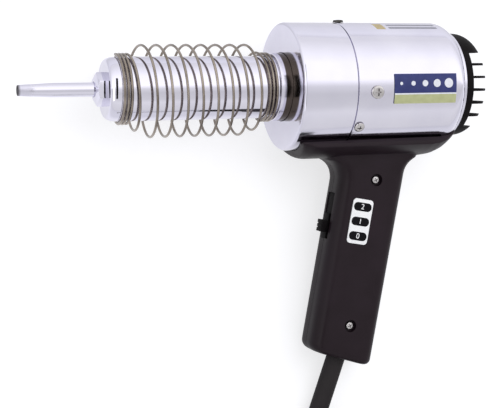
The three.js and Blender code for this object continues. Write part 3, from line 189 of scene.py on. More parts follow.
def linear(code):
    """An sRGB colour as a hex string, turned to linear red, green, blue and alpha."""
    parts = [int(code[i : i + 2], 16) / 255 for i in (0, 2, 4)]
    return [*[c / 12.92 if c <= 0.04045 else ((c + 0.055) / 1.055) ** 2.4 for c in parts], 1.0]


def add_node(material, kind, sockets, **settings):
    """A node of a material with its settings; a socket takes a value, or the output that feeds it."""
    made = material.node_tree.nodes.new("ShaderNode" + kind)
    for name, value in settings.items():
        setattr(made, name, value)
    for name, value in sockets.items():
        if isinstance(value, bpy.types.NodeSocket):
            material.node_tree.links.new(value, made.inputs[name])
        else:
            made.inputs[name].default_value = value
    return made


def finish(
    name, dark, light, rough, metallic=0.0, *, patch, grain, depth, ior=1.5, gloss=0.5, stretch=(1, 1, 1)
):
    """A solid material whose colour and roughness drift over patches, with a fine grain in its skin.
    patch and grain are the sizes of the two patterns and depth is how deep the grain is, in millimetres."""
    material = bpy.data.materials.new(name)
    material.use_nodes = True
    shader = material.node_tree.nodes["Principled BSDF"]
    shader.inputs["Metallic"].default_value = metallic
    if metallic < 1:
        shader.inputs["IOR"].default_value = ior
        shader.inputs["Specular IOR Level"].default_value = gloss
    place = add_node(material, "TexCoord", {}).outputs["Object"]
    along = add_node(material, "Mapping", {"Vector": place, "Scale": stretch}).outputs["Vector"]
    drift = add_node(material, "TexNoise", {"Vector": along, "Scale": 1 / (patch * MM), "Detail": 4.0})
    drift_low, drift_high = 0.3, 0.7
    shades = add_node(material, "ValToRGB", {"Fac": drift.outputs["Fac"]})
    for stop, position, colour in zip(shades.color_ramp.elements, (drift_low, drift_high), (dark, light)):
        stop.position = position
        stop.color = linear(colour)
    dullness = add_node(material, "MapRange", {
        "Value": drift.outputs["Fac"],
        "From Min": drift_low,
        "From Max": drift_high,
        "To Min": rough[0],
        "To Max": rough[1],
    })
    fine = add_node(material, "TexNoise", {"Vector": along, "Scale": 1 / (grain * MM), "Detail": 2.0})
    bump = add_node(material, "Bump", {"Height": fine.outputs["Fac"], "Distance": depth * MM})
    links = material.node_tree.links
    links.new(shades.outputs["Color"], shader.inputs["Base Color"])
    links.new(dullness.outputs["Result"], shader.inputs["Roughness"])
    links.new(bump.outputs["Normal"], shader.inputs["Normal"])
    return material


# PVC sheath, extruded: even and nearly black, with a soft sheen and a skin that dust makes a little uneven.
pvc_sheath = finish(
    "extruded_pvc_sheath", "1C1819", "242021", (0.42, 0.58),
    ior=1.53, gloss=0.25, patch=30, grain=0.9, depth=0.02,
)
cord.data.materials.append(pvc_sheath)


# The tie is a soft black strap, 9 mm wide, that goes once round all the turns of the coil. The plug is one
# moulding of black PVC with a ribbed neck and two flat brass pins, and lies on the bench past the coil.
def build(name, vertices, faces, place=tool):
    """A closed mesh from points in millimetres in the frame of a place, with its faces turned outwards."""
    mesh = bpy.data.meshes.new(name)
    mesh.from_pydata([Vector(spot) * MM for spot in vertices], [], faces)
    work = bmesh.new()
    work.from_mesh(mesh)
    bmesh.ops.remove_doubles(work, verts=work.verts, dist=1e-7)
    bmesh.ops.dissolve_degenerate(work, edges=work.edges, dist=1e-8)
    bmesh.ops.recalc_face_normals(work, faces=work.faces)
    work.to_mesh(mesh)
    work.free()
    return placed(name, mesh, place)


def skin(rings, closed=False):
    """Points and faces over rings of as many points each; an open run of rings is capped at both ends."""
    count = len(rings[0])
    faces = []
    for i in range(len(rings) if closed else len(rings) - 1):
        here, there = i * count, (i + 1) % len(rings) * count
        for k in range(count):
            after = (k + 1) % count
            faces.append((here + k, here + after, there + after, there + k))
    if not closed:
        faces.append(tuple(range(count)))
        faces.append(tuple((len(rings) - 1) * count + k for k in range(count)))
    return [spot for ring in rings for spot in ring], faces


def settle(obj):
    """Works a piece's modifiers into its mesh."""
    bpy.context.view_layer.update()
    result = obj.evaluated_get(bpy.context.evaluated_depsgraph_get())
    mesh = bpy.data.meshes.new_from_object(result)
    obj.modifiers.clear()
    obj.data = mesh
    return obj


def eased(obj, width, segments=3, angle=35.0):
    """Rounds the edges that are sharper than an angle, by a width in millimetres."""
    bevel = obj.modifiers.new("eased", "BEVEL")
    bevel.width = width * MM
    bevel.segments = segments
    bevel.limit_method = "ANGLE"
    bevel.angle_limit = math.radians(angle)
    return settle(obj)


def worked(obj, tools, operation="DIFFERENCE"):
    """Cuts other closed pieces from a piece, or joins them to it, and removes them."""
    for other in tools:
        change = obj.modifiers.new("worked", "BOOLEAN")
        change.object = other
        change.operation = operation
        change.solver = "MANIFOLD"
        settle(obj)
        bpy.data.objects.remove(other)
    return obj


def dress(obj, material, slot, *nodes, body="housing", sharp=32.0):
    """Puts a finished piece's place in its mesh, gives it smooth shading and a material, and lets it ride
    in place of CAD nodes."""
    obj.data.transform(obj.matrix_world)
    obj.matrix_world = Matrix.Identity(4)
    for face in obj.data.polygons:
        face.use_smooth = True
    obj.data.set_sharp_from_angle(angle=math.radians(sharp))
    obj.data.materials.clear()
    obj.data.materials.append(material)
    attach(obj, body)
    if nodes:
        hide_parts(*nodes)
    return obj


def rounded(width, height, corner, steps=5):
    """The outline of a rectangle with round corners, about its middle."""
    outline = []
    for side_x, side_y, start in ((1, 1, 0), (-1, 1, 90), (-1, -1, 180), (1, -1, 270)):
        for i in range(steps + 1):
            angle = math.radians(start + 90 * i / steps)
            x = side_x * (width / 2 - corner) + corner * math.cos(angle)
            outline.append((x, side_y * (height / 2 - corner) + corner * math.sin(angle)))
    return outline


def quarter(steps):
    """The sine and the cosine of angles that go through a right angle in so many steps."""
    angles = [math.pi / 2 * i / steps for i in range(steps + 1)]
    return [(math.sin(a), math.cos(a)) for a in angles]


tie_width = 9.0
tie_corner = 2.0
tie_arc = math.pi / 18
bundle_in = (coil_mean - coil_span / 2) * math.cos(tie_arc) - cord_radius - 2 * seat
bundle_out = coil_mean + coil_span / 2 + cord_radius + seat
bundle_width = bundle_out - bundle_in
bundle_height = (coil_layers - 1) * coil_pitch + 2 * cord_radius + 2 * seat
tie_middle = (coil_centre[0] + (bundle_in + bundle_out) / 2, tie_thick + bundle_height / 2)
tie_rings = []
for side, spare in ((-1, 0.0), (-1, tie_thick), (1, tie_thick), (1, 0.0)):
    outline = rounded(bundle_width + 2 * spare, bundle_height + 2 * spare, tie_corner + spare)
    y = coil_centre[1] + side * tie_width / 2
    tie_rings.append([(tie_middle[0] + u, y, tie_middle[1] + v) for u, v in outline])
tie = eased(build("cord_strap", *skin(tie_rings, closed=True), bench), 0.25, 2)

# Woven nylon: dark, dull, with the fine ridges of its weave across the strap.
woven_nylon = finish(
    "woven_nylon_strap", "161517", "222024", (0.62, 0.8), ior=1.53, gloss=0.25, patch=8, grain=0.8, depth=0.12
)
dress(tie, woven_nylon, "black_plastic", "cord_tie")

plug_end = tail[-1]
plug_length = 24.0
plug_width = 24.0
plug_height = 15.0
plug_corner = 4.0
plug_round = 1.5
plug_waist = 0.9
neck_radius = 5.6
neck_length = 14.0
neck_ribs = 5
neck_rib_pitch = 2.2
neck_rib_rise = 0.4
neck_widening = 0.1
shoulder_start = 11.6
shoulder_length = 8
shoulder_steps = 8


def plug_ring(y, half_width, half_height, corner):
    outline = rounded(2 * half_width, 2 * half_height, corner, 8)
    return [(plug_end.x + u, plug_end.y + seat + y, plug_end.z + v) for u, v in outline]


plug_rings = [plug_ring(0, neck_radius - neck_rib_rise, neck_radius - neck_rib_rise, neck_radius - 0.5)]
for i in range(neck_ribs):
    for side, y in ((1, 0.0), (1, 1.5), (-1, 1.7), (-1, 2.1)):
        radius = neck_radius + side * neck_rib_rise + neck_widening * i
        plug_rings.append(plug_ring(0.2 + neck_rib_pitch * i + y, radius, radius, radius - 0.1))
for i in range(shoulder_steps + 1):
    share = smooth(i / shoulder_steps)
    half_width = neck_radius + 1 + (plug_width / 2 - neck_radius - 1) * share
    half_height = neck_radius + 1 + (plug_height / 2 - neck_radius - 1) * share
    corner = neck_radius - (neck_radius - plug_corner) * share
    y = shoulder_start + shoulder_length * i / shoulder_steps
    plug_rings.append(plug_ring(y, half_width, half_height, corner))
for y, drawn_in in ((28.0, plug_waist), (30.0, plug_waist), (32.0, 0.0)):
    plug_rings.append(plug_ring(y, plug_width / 2 - drawn_in, plug_height / 2, plug_corner))
for sine, cosine in quarter(4):
    inset = plug_round * (1 - cosine)
    y = neck_length + plug_length - plug_round * (1 - sine)
    corner = plug_corner - inset * 0.6
    plug_rings.append(plug_ring(y, plug_width / 2 - inset, plug_height / 2 - inset, corner))
plug = build("mains_plug", *skin(plug_rings), bench)

# Moulded PVC: the cord's black, smoother, with the faint orange peel of a polished mould.
moulded_pvc = finish(
    "moulded_pvc", "1C191A", "242021", (0.3, 0.42), ior=1.53, gloss=0.25, patch=12, grain=1.2, depth=0.015
)
dress(plug, moulded_pvc, "black_rubber", "plug_body")

# Brass, stamped and tumbled: yellow, bright, with fine rubbing marks along the pins.
stamped_brass = finish(
    "stamped_brass", "B08A45", "CDAA62", (0.2, 0.38), 1.0, patch=5, grain=0.25, depth=0.004
)
four_corners = ((-1, -1), (1, -1), (1, 1), (-1, 1))
pin_length = 17.0
pin_width = 6.3
pin_thick = 1.5
pin_spacing = 12.7
for place, side in (("left", -1), ("right", 1)):
    middle = plug_end.x + side * pin_spacing / 2
    base = plug_end.y + neck_length + plug_length + 2 * seat
    rings = []
    for y, drawn_in in ((0.0, 0.0), (pin_length - 2.2, 0.0), (pin_length - 0.8, 0.35), (pin_length, 0.6)):
        half_width = pin_width / 2 - drawn_in * 1.6
        half_thick = pin_thick / 2 - drawn_in
        outline = [(u * half_thick, v * half_width) for u, v in four_corners]
        rings.append([(middle + u, base + y, plug_end.z + v) for u, v in outline])
    pin = eased(build(f"brass_pin_{place}", *skin(rings), bench), 0.15, 2, 50)
    dress(pin, stamped_brass, "brass", f"plug_pin_{place}")

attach(cord, "housing")
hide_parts("cord_lead", "cord_coil", "cord_tail")


# The nozzle is turned from steel bar and chrome plated: a plain stretch, a taper to the tip and a small
# bore. A hexagonal union nut, turned to a cone in front, clamps its flange against the spigot of the cap.
def arc(middle_x, middle_r, radius, start, end, steps=6):
    """Points of an arc in a profile, with its angles counted from +x towards the outside."""
    angles = [math.radians(start + (end - start) * i / steps) for i in range(steps + 1)]
    return [(middle_x + radius * math.cos(a), middle_r + radius * math.sin(a)) for a in angles]


def circle(steps):
    """The cosine and the sine of so many angles, evenly round a circle."""
    angles = [2 * math.pi * k / steps for k in range(steps)]
    return [(math.cos(a), math.sin(a)) for a in angles]


def turned(name, profile, steps=96):
    """A closed profile of (x, radius) points turned round the barrel's axis."""
    rings = [[(x, radius * c, radius * s) for c, s in circle(steps)] for x, radius in profile]
    return build(name, *skin(rings, closed=True))


nozzle_tip, nozzle_bend, nut_front, nut_rear = -186.1, -163.4, -135.2, -127.7
nozzle_radius, tip_radius, nozzle_bore = 4.8, 3.6, 2.25
tip_round, bore_round = 0.5, 0.35
flange_front, flange_rear = nut_front + 2, nut_front + 3.2
flange_radius = 8.4
nozzle = turned("steel_nozzle", [
    (flange_front, nozzle_bore),
    *arc(nozzle_tip + bore_round, nozzle_bore + bore_round, bore_round, 270, 180, 3),
    *arc(nozzle_tip + tip_round, tip_radius - tip_round, tip_round, 180, 90, 4),
    (nozzle_bend - 1.2, nozzle_radius - 0.07),
    (nozzle_bend + 1.2, nozzle_radius),
    (flange_front, nozzle_radius),
    (flange_front, flange_radius),
    (flange_rear, flange_radius),
    (flange_rear, nozzle_bore),
])


def chrome(name, rough, lines):
    """Chrome plate over steel that was spun or polished on a lathe: a cool mirror with a trace of violet,
    broken only by faint lines round the axis, as many to the millimetre as lines says, and finger marks."""
    material = finish(name, "D9D7E6", "E1DFEC", rough, 1.0, patch=26, grain=3.0, depth=0.002)
    line_depth = 0.0006
    tree = material.node_tree
    place = tree.nodes["Texture Coordinate"].outputs["Object"]
    along = add_node(material, "SeparateXYZ", {"Vector": place}).outputs["X"]
    marks = {"W": along, "Scale": lines / MM, "Detail": 3.0}
    rings = add_node(material, "TexNoise", marks, noise_dimensions="1D")
    relief = add_node(material, "Bump", {
        "Height": rings.outputs["Fac"],
        "Distance": line_depth * MM,
        "Normal": tree.nodes["Bump"].outputs["Normal"],
    })
    tree.links.new(relief.outputs["Normal"], tree.nodes["Principled BSDF"].inputs["Normal"])
    return material


def along_barrel(material, start, end, before, after):
    """A value of a material that goes from one level to another between two places along the barrel."""
    place = material.node_tree.nodes["Texture Coordinate"].outputs["Object"]
    along = add_node(material, "SeparateXYZ", {"Vector": place}).outputs["X"]
    return add_node(material, "MapRange", {
        "Value": along,
        "From Min": axis_x + start * MM,
        "From Max": axis_x + end * MM,
        "To Min": before,
        "To Max": after,
    }).outputs["Result"]


def tint(material, share, code):
    """Blends a colour into a material's own, as much as a share says."""
    shader = material.node_tree.nodes["Principled BSDF"]
    own = shader.inputs["Base Color"].links[0].from_socket
    blend = add_node(material, "Mix", {0: share, 6: own, 7: linear(code)}, data_type="RGBA")
    material.node_tree.links.new(blend.outputs[2], shader.inputs["Base Color"])


# Polished chrome plate: a clear, cool mirror whose polishing lines only just show.
chrome_plate = chrome("polished_chrome_plate", (0.025, 0.06), 1.6)

# The same plate on the nozzle, dulled by heat over its last centimetre and scorched brown at the very tip.
scorched_chrome = chrome("scorched_chrome_plate", (0.03, 0.07), 1.6)
scorch = along_barrel(scorched_chrome, nozzle_tip, nozzle_tip + 2.0, 1.0, 0.0)
tint(scorched_chrome, scorch, "1F1816")
tip_shader = scorched_chrome.node_tree.nodes["Principled BSDF"]
haze = add_node(scorched_chrome, "Math", {
    0: tip_shader.inputs["Roughness"].links[0].from_socket,
    1: along_barrel(scorched_chrome, nozzle_tip + 7, nozzle_tip + 12, 0.4, 0.0),
}, operation="ADD")
scorched_chrome.node_tree.links.new(haze.outputs["Value"], tip_shader.inputs["Roughness"])
dress(nozzle, scorched_chrome, "chrome", "nozzle")

nut_across = 20.0
nut_corner = nut_across / math.sqrt(3)
cone_radius, cone_length = 7.4, 2.4
hexagon = [[(x, nut_corner * c, nut_corner * s) for c, s in circle(6)] for x in (nut_front - 1, nut_rear)]
nut_cone = turned("nut_cone", [
    (nut_front, 0.0),
    (nut_front, cone_radius),
    (nut_front + cone_length, nut_corner + 0.3),
    (nut_rear + 1, nut_corner + 0.3),
    (nut_rear + 1, 0.0),
])
nut_step = nut_front + 1.85
nut_bore = turned("nut_bore", [
    (nut_front - 1, 0.0),
    (nut_front - 1, nozzle_radius + 0.9),
    (nut_front + 0.6, nozzle_radius + seat),
    (nut_step, nozzle_radius + seat),
    (nut_step, flange_radius + seat),
    (nut_rear + 1, flange_radius + seat),
    (nut_rear + 1, 0.0),
])
nut = worked(worked(build("union_nut", *skin(hexagon)), [nut_cone], "INTERSECT"), [nut_bore])
nut = eased(nut, 0.25, 3, 25)
dress(nut, chrome_plate, "chrome", "nozzle_nut", sharp=20)


# The barrel's cap is turned from steel: a flat polished front with a spigot for the nut, rounded over to the
# tube that it closes. The barrel is a thin drawn tube, and a ring covers the joint where it enters the drum.
barrel_radius = 21.8
barrel_wall = 1.2
barrel_front = -120.4
dome_front = -128.0
flat_radius = 18.5
skirt_wall = 1.5
skirt_length = 5.0
spigot_front = flange_rear + seat
dome_length = barrel_front - seat - dome_front
dome = [
    (dome_front + dome_length * (1 - cosine), flat_radius + (barrel_radius - flat_radius) * sine)
    for sine, cosine in quarter(32)
]
cap = turned("barrel_cap_dome", [
    (spigot_front, 0.0),
    (spigot_front, flange_radius),
    (dome_front, flange_radius),
    *dome,
    (barrel_front - seat, barrel_radius - skirt_wall),
    (barrel_front + skirt_length, barrel_radius - skirt_wall),
    (barrel_front + skirt_length, 0.0),
], 128)
dress(cap, chrome_plate, "chrome", "barrel_cap", sharp=40)

tube_round = 0.4
tube_flange_x = drum_front + 2.3
tube_flange_thick = 2.0
tube_flange_radius = barrel_radius + 5.0
barrel = turned("barrel_tube", [
    (barrel_front, barrel_radius - barrel_wall),
    *arc(barrel_front + tube_round, barrel_radius - tube_round, tube_round, 180, 90, 4),
    (tube_flange_x, barrel_radius),
    (tube_flange_x, tube_flange_radius),
    (tube_flange_x + tube_flange_thick, tube_flange_radius),
    (tube_flange_x + tube_flange_thick, barrel_radius - barrel_wall),
], 128)
dress(barrel, chrome_plate, "chrome", "barrel")

collar_front = drum_front - 8.6
collar_rear = tube_flange_x - seat
collar_outer = barrel_radius + 2.0
collar_round = 0.8
collar = turned("joint_ring", [
    (collar_front, barrel_radius + seat),
    *arc(collar_front + collar_round, collar_outer - collar_round, collar_round, 180, 90, 8),
    (collar_rear, collar_outer),
    (collar_rear, barrel_radius + seat),
], 128)

# The ring's front edge is polished. Behind it the plate is tinted dark brown and is a little dull.
dark_brown_chrome = chrome("browned_chrome_plate", (0.08, 0.2), 1.6)
dark_brown_share = along_barrel(dark_brown_chrome, collar_front + 3.6, collar_front + 4.2, 0.0, 1.0)
tint(dark_brown_chrome, dark_brown_share, "564E46")
dress(collar, dark_brown_chrome, "chrome", "barrel_collar")


# The finger guard is one spring-steel wire, 1.8 mm thick: closed turns grip the barrel at both ends, and
# wide turns stand off between them, a little low, to keep hands from the hot tube.
wire_radius = 0.9
guard_radius = 31.1
guard_sag = 1.7
guard_pitch = 10.54
guard_first_top = -102.3
guard_open_turns = 7
guard_front_turns = 3
guard_rear_turns = 2.5
guard_drawn_in = 1.25
guard_front_pitch = 2.45
guard_rear_pitch = 2.6
guard_front_end = -119.9
guard_front_last = guard_front_end + guard_front_turns * guard_front_pitch
guard_rear_first = collar_front - 2 * seat - wire_radius - guard_rear_turns * guard_rear_pitch
guard_wide_end = guard_first_top + guard_open_turns * guard_pitch
guard_tight = (barrel_radius + seat + wire_radius) / math.cos(math.pi / 16)


def guard_point(turns):
    """The wire's middle after so many turns, counted from the first wide turn's top to the near side."""
    past = turns - guard_open_turns
    x = guard_first_top + turns * guard_pitch
    wide = 1.0
    if turns < -1:
        x = guard_front_last + (turns + 1) * guard_front_pitch
        wide = 0.0
    elif turns < 0:
        x = guard_front_last + (guard_first_top - guard_front_last) * (turns + 1)
        wide = smooth(turns + 1)
    if past > guard_drawn_in:
        x = guard_rear_first + (past - guard_drawn_in) * guard_rear_pitch
        wide = 0.0
    elif past > 0:
        x = guard_wide_end + (guard_rear_first - guard_wide_end) * past / guard_drawn_in
        wide = 1 - smooth(past / guard_drawn_in)
    radius = guard_tight + (guard_radius - guard_tight) * wide
    angle = 2 * math.pi * turns
    return Vector((x, radius * math.cos(angle) - guard_sag * wide, radius * math.sin(angle)))


def drawn(name, line, radius, sides):
    """A round rod along a line of points, with domed ends."""
    domed = ((0.5, 0.0), (0.42, 0.55), (0.22, 0.87), (0.0, 1.0))
    count = len(line)
    across = Vector((1, 0, 0))
    rings = []
    for i, spot in enumerate(line):
        way = (line[min(i + 1, count - 1)] - line[max(i - 1, 0)]).normalized()
        across = (across - way * across.dot(way)).normalized()
        side = way.cross(across)
        ends = [(0.0, 1.0)]
        if i == 0:
            ends = [(-out, share) for out, share in domed]
        if i == count - 1:
            ends = reversed(domed)
        for out, share in ends:
            middle = spot + way * out * radius
            rings.append([middle + (across * c + side * s) * radius * share for c, s in circle(sides)])
    return build(name, *skin(rings))


guard_steps = 56
guard_start = -1 - guard_front_turns
guard_end = guard_open_turns + guard_drawn_in + guard_rear_turns
guard_count = round((guard_end - guard_start) * guard_steps)
guard_line = [guard_point(guard_start + i / guard_steps) for i in range(guard_count + 1)]
guard = drawn("finger_guard", guard_line, wire_radius, 12)

# Drawn spring steel, tinted straw and brown by heat, with fine draw marks. Its grey is painted darker than
# the steel's own: painted reflection of dark surroundings and painted shade on the polished turns.
spring_wire = finish(
    "drawn_spring_steel", "756C64", "A99F95", (0.12, 0.24), 1.0, patch=16, grain=0.5, depth=0.01
)
dress(guard, spring_wire, "guard_wire", "coil_guard", sharp=60)


# The drum is two spun and chrome-plated steel cups. The front one has a flat face with a rolled rim, and
# its skirt enters the rear one, whose end is drawn in over a shoulder to the mouth of the intake cap.
drum_radius = 45.0
drum_wall = 1.5
face_thick = 2.0
hole_round = 0.4
rim_round = 2.0
seam_x = 38.6
seam_gap = 0.7
seam_round = 0.5
cup_overlap = 10.0
joint_radius = drum_radius - drum_wall - seat
front_shell = turned("front_cup", [
    (drum_front + face_thick, collar_outer + seat),
    *arc(drum_front + hole_round, collar_outer + seat + hole_round, hole_round, 270, 180, 4),
    *arc(drum_front + rim_round, drum_radius - rim_round, rim_round, 180, 90, 10),
    *arc(seam_x - seam_round, drum_radius - seam_round, seam_round, 90, 0, 4),
    (seam_x, joint_radius),
    (seam_x + cup_overlap, joint_radius),
    (seam_x + cup_overlap, joint_radius - drum_wall),
    (drum_front + face_thick, joint_radius - drum_wall),
], 192)
shoulder_x = 114.0
shoulder_round = 12.5
mouth_radius = 39.6
mouth_edge = 1.9
mouth_round = 0.5
shoulder_end = math.degrees(math.acos((mouth_radius - drum_radius + shoulder_round) / shoulder_round))
shoulder = arc(shoulder_x, drum_radius - shoulder_round, shoulder_round, 90, 90 - shoulder_end, 14)
mouth_x = shoulder[-1][0] + mouth_edge
rear_shell = turned("rear_cup", [
    (seam_x + seam_gap, drum_radius - drum_wall),
    *arc(seam_x + seam_gap + seam_round, drum_radius - seam_round, seam_round, 180, 90, 4),
    *shoulder,
    *arc(mouth_x - mouth_round, mouth_radius - mouth_round, mouth_round, 90, 0, 4),
    (mouth_x, mouth_radius - mouth_edge),
    (shoulder_x, mouth_radius - mouth_edge),
    (shoulder_x - 2, drum_radius - drum_wall),
], 192)

# Spun chrome plate: the same cool mirror, softer, with coarser marks of the spinning.
drum_chrome = chrome("spun_chrome_plate", (0.08, 0.14), 1.0)
dress(front_shell, drum_chrome, "chrome", "front_shell")
dress(rear_shell, drum_chrome, "chrome", "rear_shell")


# Pan-head screws with a cross recess hold the seam and the motor. They are steel with bright nickel plate,
# a bit duller than the drum, and stand on it with a thin shadow under each head. The top one has gone dark.
def outwards(x, angle):
    """A place on the barrel's axis whose z points outwards: 0 is the near side, 90 is up."""
    return tool @ Matrix.Translation((x * MM, 0, 0)) @ Matrix.Rotation(-math.radians(angle), 4, "X")


def lathed(profile, steps):
    """Rings for a profile of (radius, z) points turned round a place's z."""
    return [[(radius * c, radius * s, z) for c, s in circle(steps)] for radius, z in profile]


def pan_screw(name, place, seat_at, radius, height, shank, shank_to):
    """A pan head with a domed top and a cross recess, on a plain shank, standing along a place's z."""
    edge = 0.15
    dome_in, dome_base, dome_rise = 0.38, 0.4, 0.5
    profile = [(0.0, shank_to), (shank, shank_to), (shank, seat_at)]
    profile += [(radius - edge, seat_at), (radius, seat_at + edge)]
    for sine, cosine in quarter(8):
        out = radius - (1 - cosine) * radius * dome_in
        profile.append((out, seat_at + height * (dome_base + dome_rise * sine)))
    profile.append((0.0, seat_at + height))
    screw = build(name, *skin(lathed(profile, 40)), place)
    recess_floor, recess_top = seat_at + height * 0.2, seat_at + height + 0.2
    floor_share, flare = 0.3, 1.8
    wings = []
    for wide, deep in ((radius * 1.1, radius * 0.2), (radius * 0.2, radius * 1.1)):
        low = [(u * wide * floor_share, v * deep * floor_share) for u, v in four_corners]
        high = [(u * flare, v * flare) for u, v in low]
        rings = [[(u, v, z) for u, v in outline] for outline, z in ((low, recess_floor), (high, recess_top))]
        wings.append(build("wing", *skin(rings), place))
    return worked(screw, wings)


nickel = finish("bright_nickel_plate", "B8B4B4", "D2CFD0", (0.16, 0.3), 1.0, patch=3, grain=0.4, depth=0.006)
dulled = finish("dulled_nickel_plate", "3E3D3B", "5C5A57", (0.25, 0.4), 1.0, patch=2, grain=0.4, depth=0.01)
seam_screw_x = 43.3
seam_head = {"radius": 3.7, "height": 1.8, "shank": 2.0, "shank_to": drum_radius - 2}
for place, angle, plating in (("top", 90, dulled), ("near", -38, nickel), ("far", 218, nickel)):
    spot = outwards(seam_screw_x, angle)
    screw = pan_screw(f"seam_{place}_screw", spot, drum_radius + seat, **seam_head)
    dress(screw, plating, "steel", f"seam_screw_{place}", sharp=28)
motor_screw_x = 52.8
motor_screws = {"near": -5, "upper": 117, "lower": 240}
motor_head = {"radius": 4.7, "height": 2.2, "shank": 2.5, "shank_to": drum_radius - 3}
for place, angle in motor_screws.items():
    spot = outwards(motor_screw_x, angle)
    screw = pan_screw(f"motor_{place}_screw", spot, drum_radius + seat, **motor_head)
    dress(screw, nickel, "steel", f"motor_screw_{place}", sharp=28)


# The intake cap is moulded in black ABS: a dome with a squared-off section, cut through by six level slots
# so that five ribs stand between the rim's two lips. It plugs into the mouth of the rear cup.
cap_radius = mouth_radius - mouth_edge - seat
cap_wall = 3.0
cap_plug = 8.0
cap_ring = 6.4
cap_dome = 20.4
cap_square = 2.3
slot_pitch = 9.15
rib_thick = 1.7
slot_total = 6
slot_centre = -3.7
ring_rear = mouth_x + cap_ring


def dome_line(radius, depth, steps):
    """The cap's section from its rim to the axis: an ellipse drawn out towards a rectangle."""
    power = 2 / cap_square
    return [
        (ring_rear + depth * sine**power, radius * max(cosine, 0.0) ** power)
        for sine, cosine in quarter(steps)
    ]


intake = turned("intake_dome", [
    (mouth_x - cap_plug, cap_radius - cap_wall),
    (mouth_x - cap_plug, cap_radius),
    *dome_line(cap_radius, cap_dome, 22),
    *reversed(dome_line(cap_radius - cap_wall, cap_dome - cap_wall, 18)),
], 144)


def block(name, low, high, place=tool):
    """A box between two corners."""
    (x0, y0, z0), (x1, y1, z1) = low, high
    rings = [[(x, y0, z0), (x, y1, z0), (x, y1, z1), (x, y0, z1)] for x in (x0, x1)]
    return build(name, *skin(rings), place)


band_top = slot_centre + (slot_total * slot_pitch - rib_thick) / 2
slots = []
for i in range(slot_total):
    top = band_top - i * slot_pitch
    slots.append(block("slot", (ring_rear, top - slot_pitch + rib_thick, -50), (ring_rear + 30, top, 50)))
intake = eased(worked(intake, slots), 0.3, 2, 50)

# Moulded ABS, finely blasted mould: a deeper black than the grip's, nearly dull, with slight waves in it.
satin_abs = finish(
    "satin_black_abs", "0C090B", "131012", (0.5, 0.62), ior=1.54, gloss=0.06, patch=20, grain=1.5, depth=0.02
)
dress(intake, satin_abs, "black_plastic", "intake_cap")


# The grip is moulded in black ABS in two halves. Each carries half of the saddle that hugs the drum, and
# they part on the tool's middle plane. The flat sides, the rounded corners and the hollows under the
# saddle are drawn from their sections, joined and softened as the mould's edges are.
grip_half = 16.0
grip_top = -38.0
front_corner = (9.0, 11.0)
rear_corner = (8.0, 9.0)
front_line = (39.9, -67.0, math.radians(11.0))
rear_line = (89.3, -72.0, math.radians(11.2))
bottom_line = (41.0, -196.9, math.radians(18.5))
front_fillet = 17.0
rear_fillet = 12.0
foot_front, foot_rear, foot_side = 5.5, 5.0, 3.6
saddle_radius = 51.4
saddle_front = 2.6
saddle_rear = 124.6
saddle_flat = 104.0
saddle_edge = 52.6
saddle_lean = math.radians(25.6)
saddle_front_y = -36.0
parting = 0.15


def line_way(line):
    return Vector((-math.sin(line[2]), -math.cos(line[2]), 0.0))


def line_x(line, y):
    return line[0] + math.tan(line[2]) * (y - line[1])


def fillet_shift(radius, below):
    left = radius - min(max(below, 0.8), radius)
    return radius - math.sqrt(radius**2 - left**2)


def grip_ring(front, rear, half):
    """One section of the grip between its front and its rear, with a round at each corner."""
    across = rear - front
    length = across.length
    across.normalize()
    spare = grip_half - half
    front_deep, front_wide = front_corner[0], max(front_corner[1] - spare, 1)
    rear_deep, rear_wide = rear_corner[0], max(rear_corner[1] - spare, 1)
    corners = (
        (front_deep, half - front_wide, front_deep, front_wide, 90),
        (front_deep, front_wide - half, front_deep, front_wide, 180),
        (length - rear_deep, rear_wide - half, rear_deep, rear_wide, 270),
        (length - rear_deep, half - rear_wide, rear_deep, rear_wide, 0),
    )
    corner_steps = 8
    ring = []
    for middle, side, deep, wide, start in corners:
        for i in range(corner_steps + 1):
            angle = math.radians(start + 90 * i / corner_steps)
            spot = front + across * (middle + deep * math.cos(angle))
            ring.append((spot.x, spot.y, side + wide * math.sin(angle)))
    return ring


def grip_foot(line):
    """Where a side of the grip meets its slanted bottom."""
    way = line_way(line)
    slope = math.tan(bottom_line[2])
    bottom = bottom_line[1] - slope * (line[0] - bottom_line[0])
    return Vector((line[0], line[1], 0)) + way * ((bottom - line[1]) / (way.y + slope * way.x))


def on_middle(x, y, angle=0.0):
    """A place on the tool's middle plane whose z points to the near side, turned by an angle."""
    return tool @ Matrix.Translation((x * MM, y * MM, 0)) @ Matrix.Rotation(angle, 4, "Z")


heights = [grip_top, -45.0]
heights += [-saddle_radius - front_fillet * (1 - cosine) for sine, cosine in quarter(16)]
grip_rings = []
for y in heights:
    below = -saddle_radius - y
    front = Vector((line_x(front_line, y) - fillet_shift(front_fillet, below), y, 0))
    rear = Vector((line_x(rear_line, y) + fillet_shift(rear_fillet, below), y, 0))
    grip_rings.append(grip_ring(front, rear, grip_half))
front_foot = grip_foot(front_line)
rear_foot = grip_foot(rear_line)
along_foot = (rear_foot - front_foot).normalized()
for sine, cosine in quarter(12):
    inwards = 1 - cosine
    upwards = 1 - sine
    front = front_foot + along_foot * foot_front * inwards - line_way(front_line) * foot_front * upwards
    rear = rear_foot - along_foot * foot_rear * inwards - line_way(rear_line) * foot_rear * upwards
    grip_rings.append(grip_ring(front, rear, grip_half - foot_side * inwards))
grip = build("grip", *skin(grip_rings))

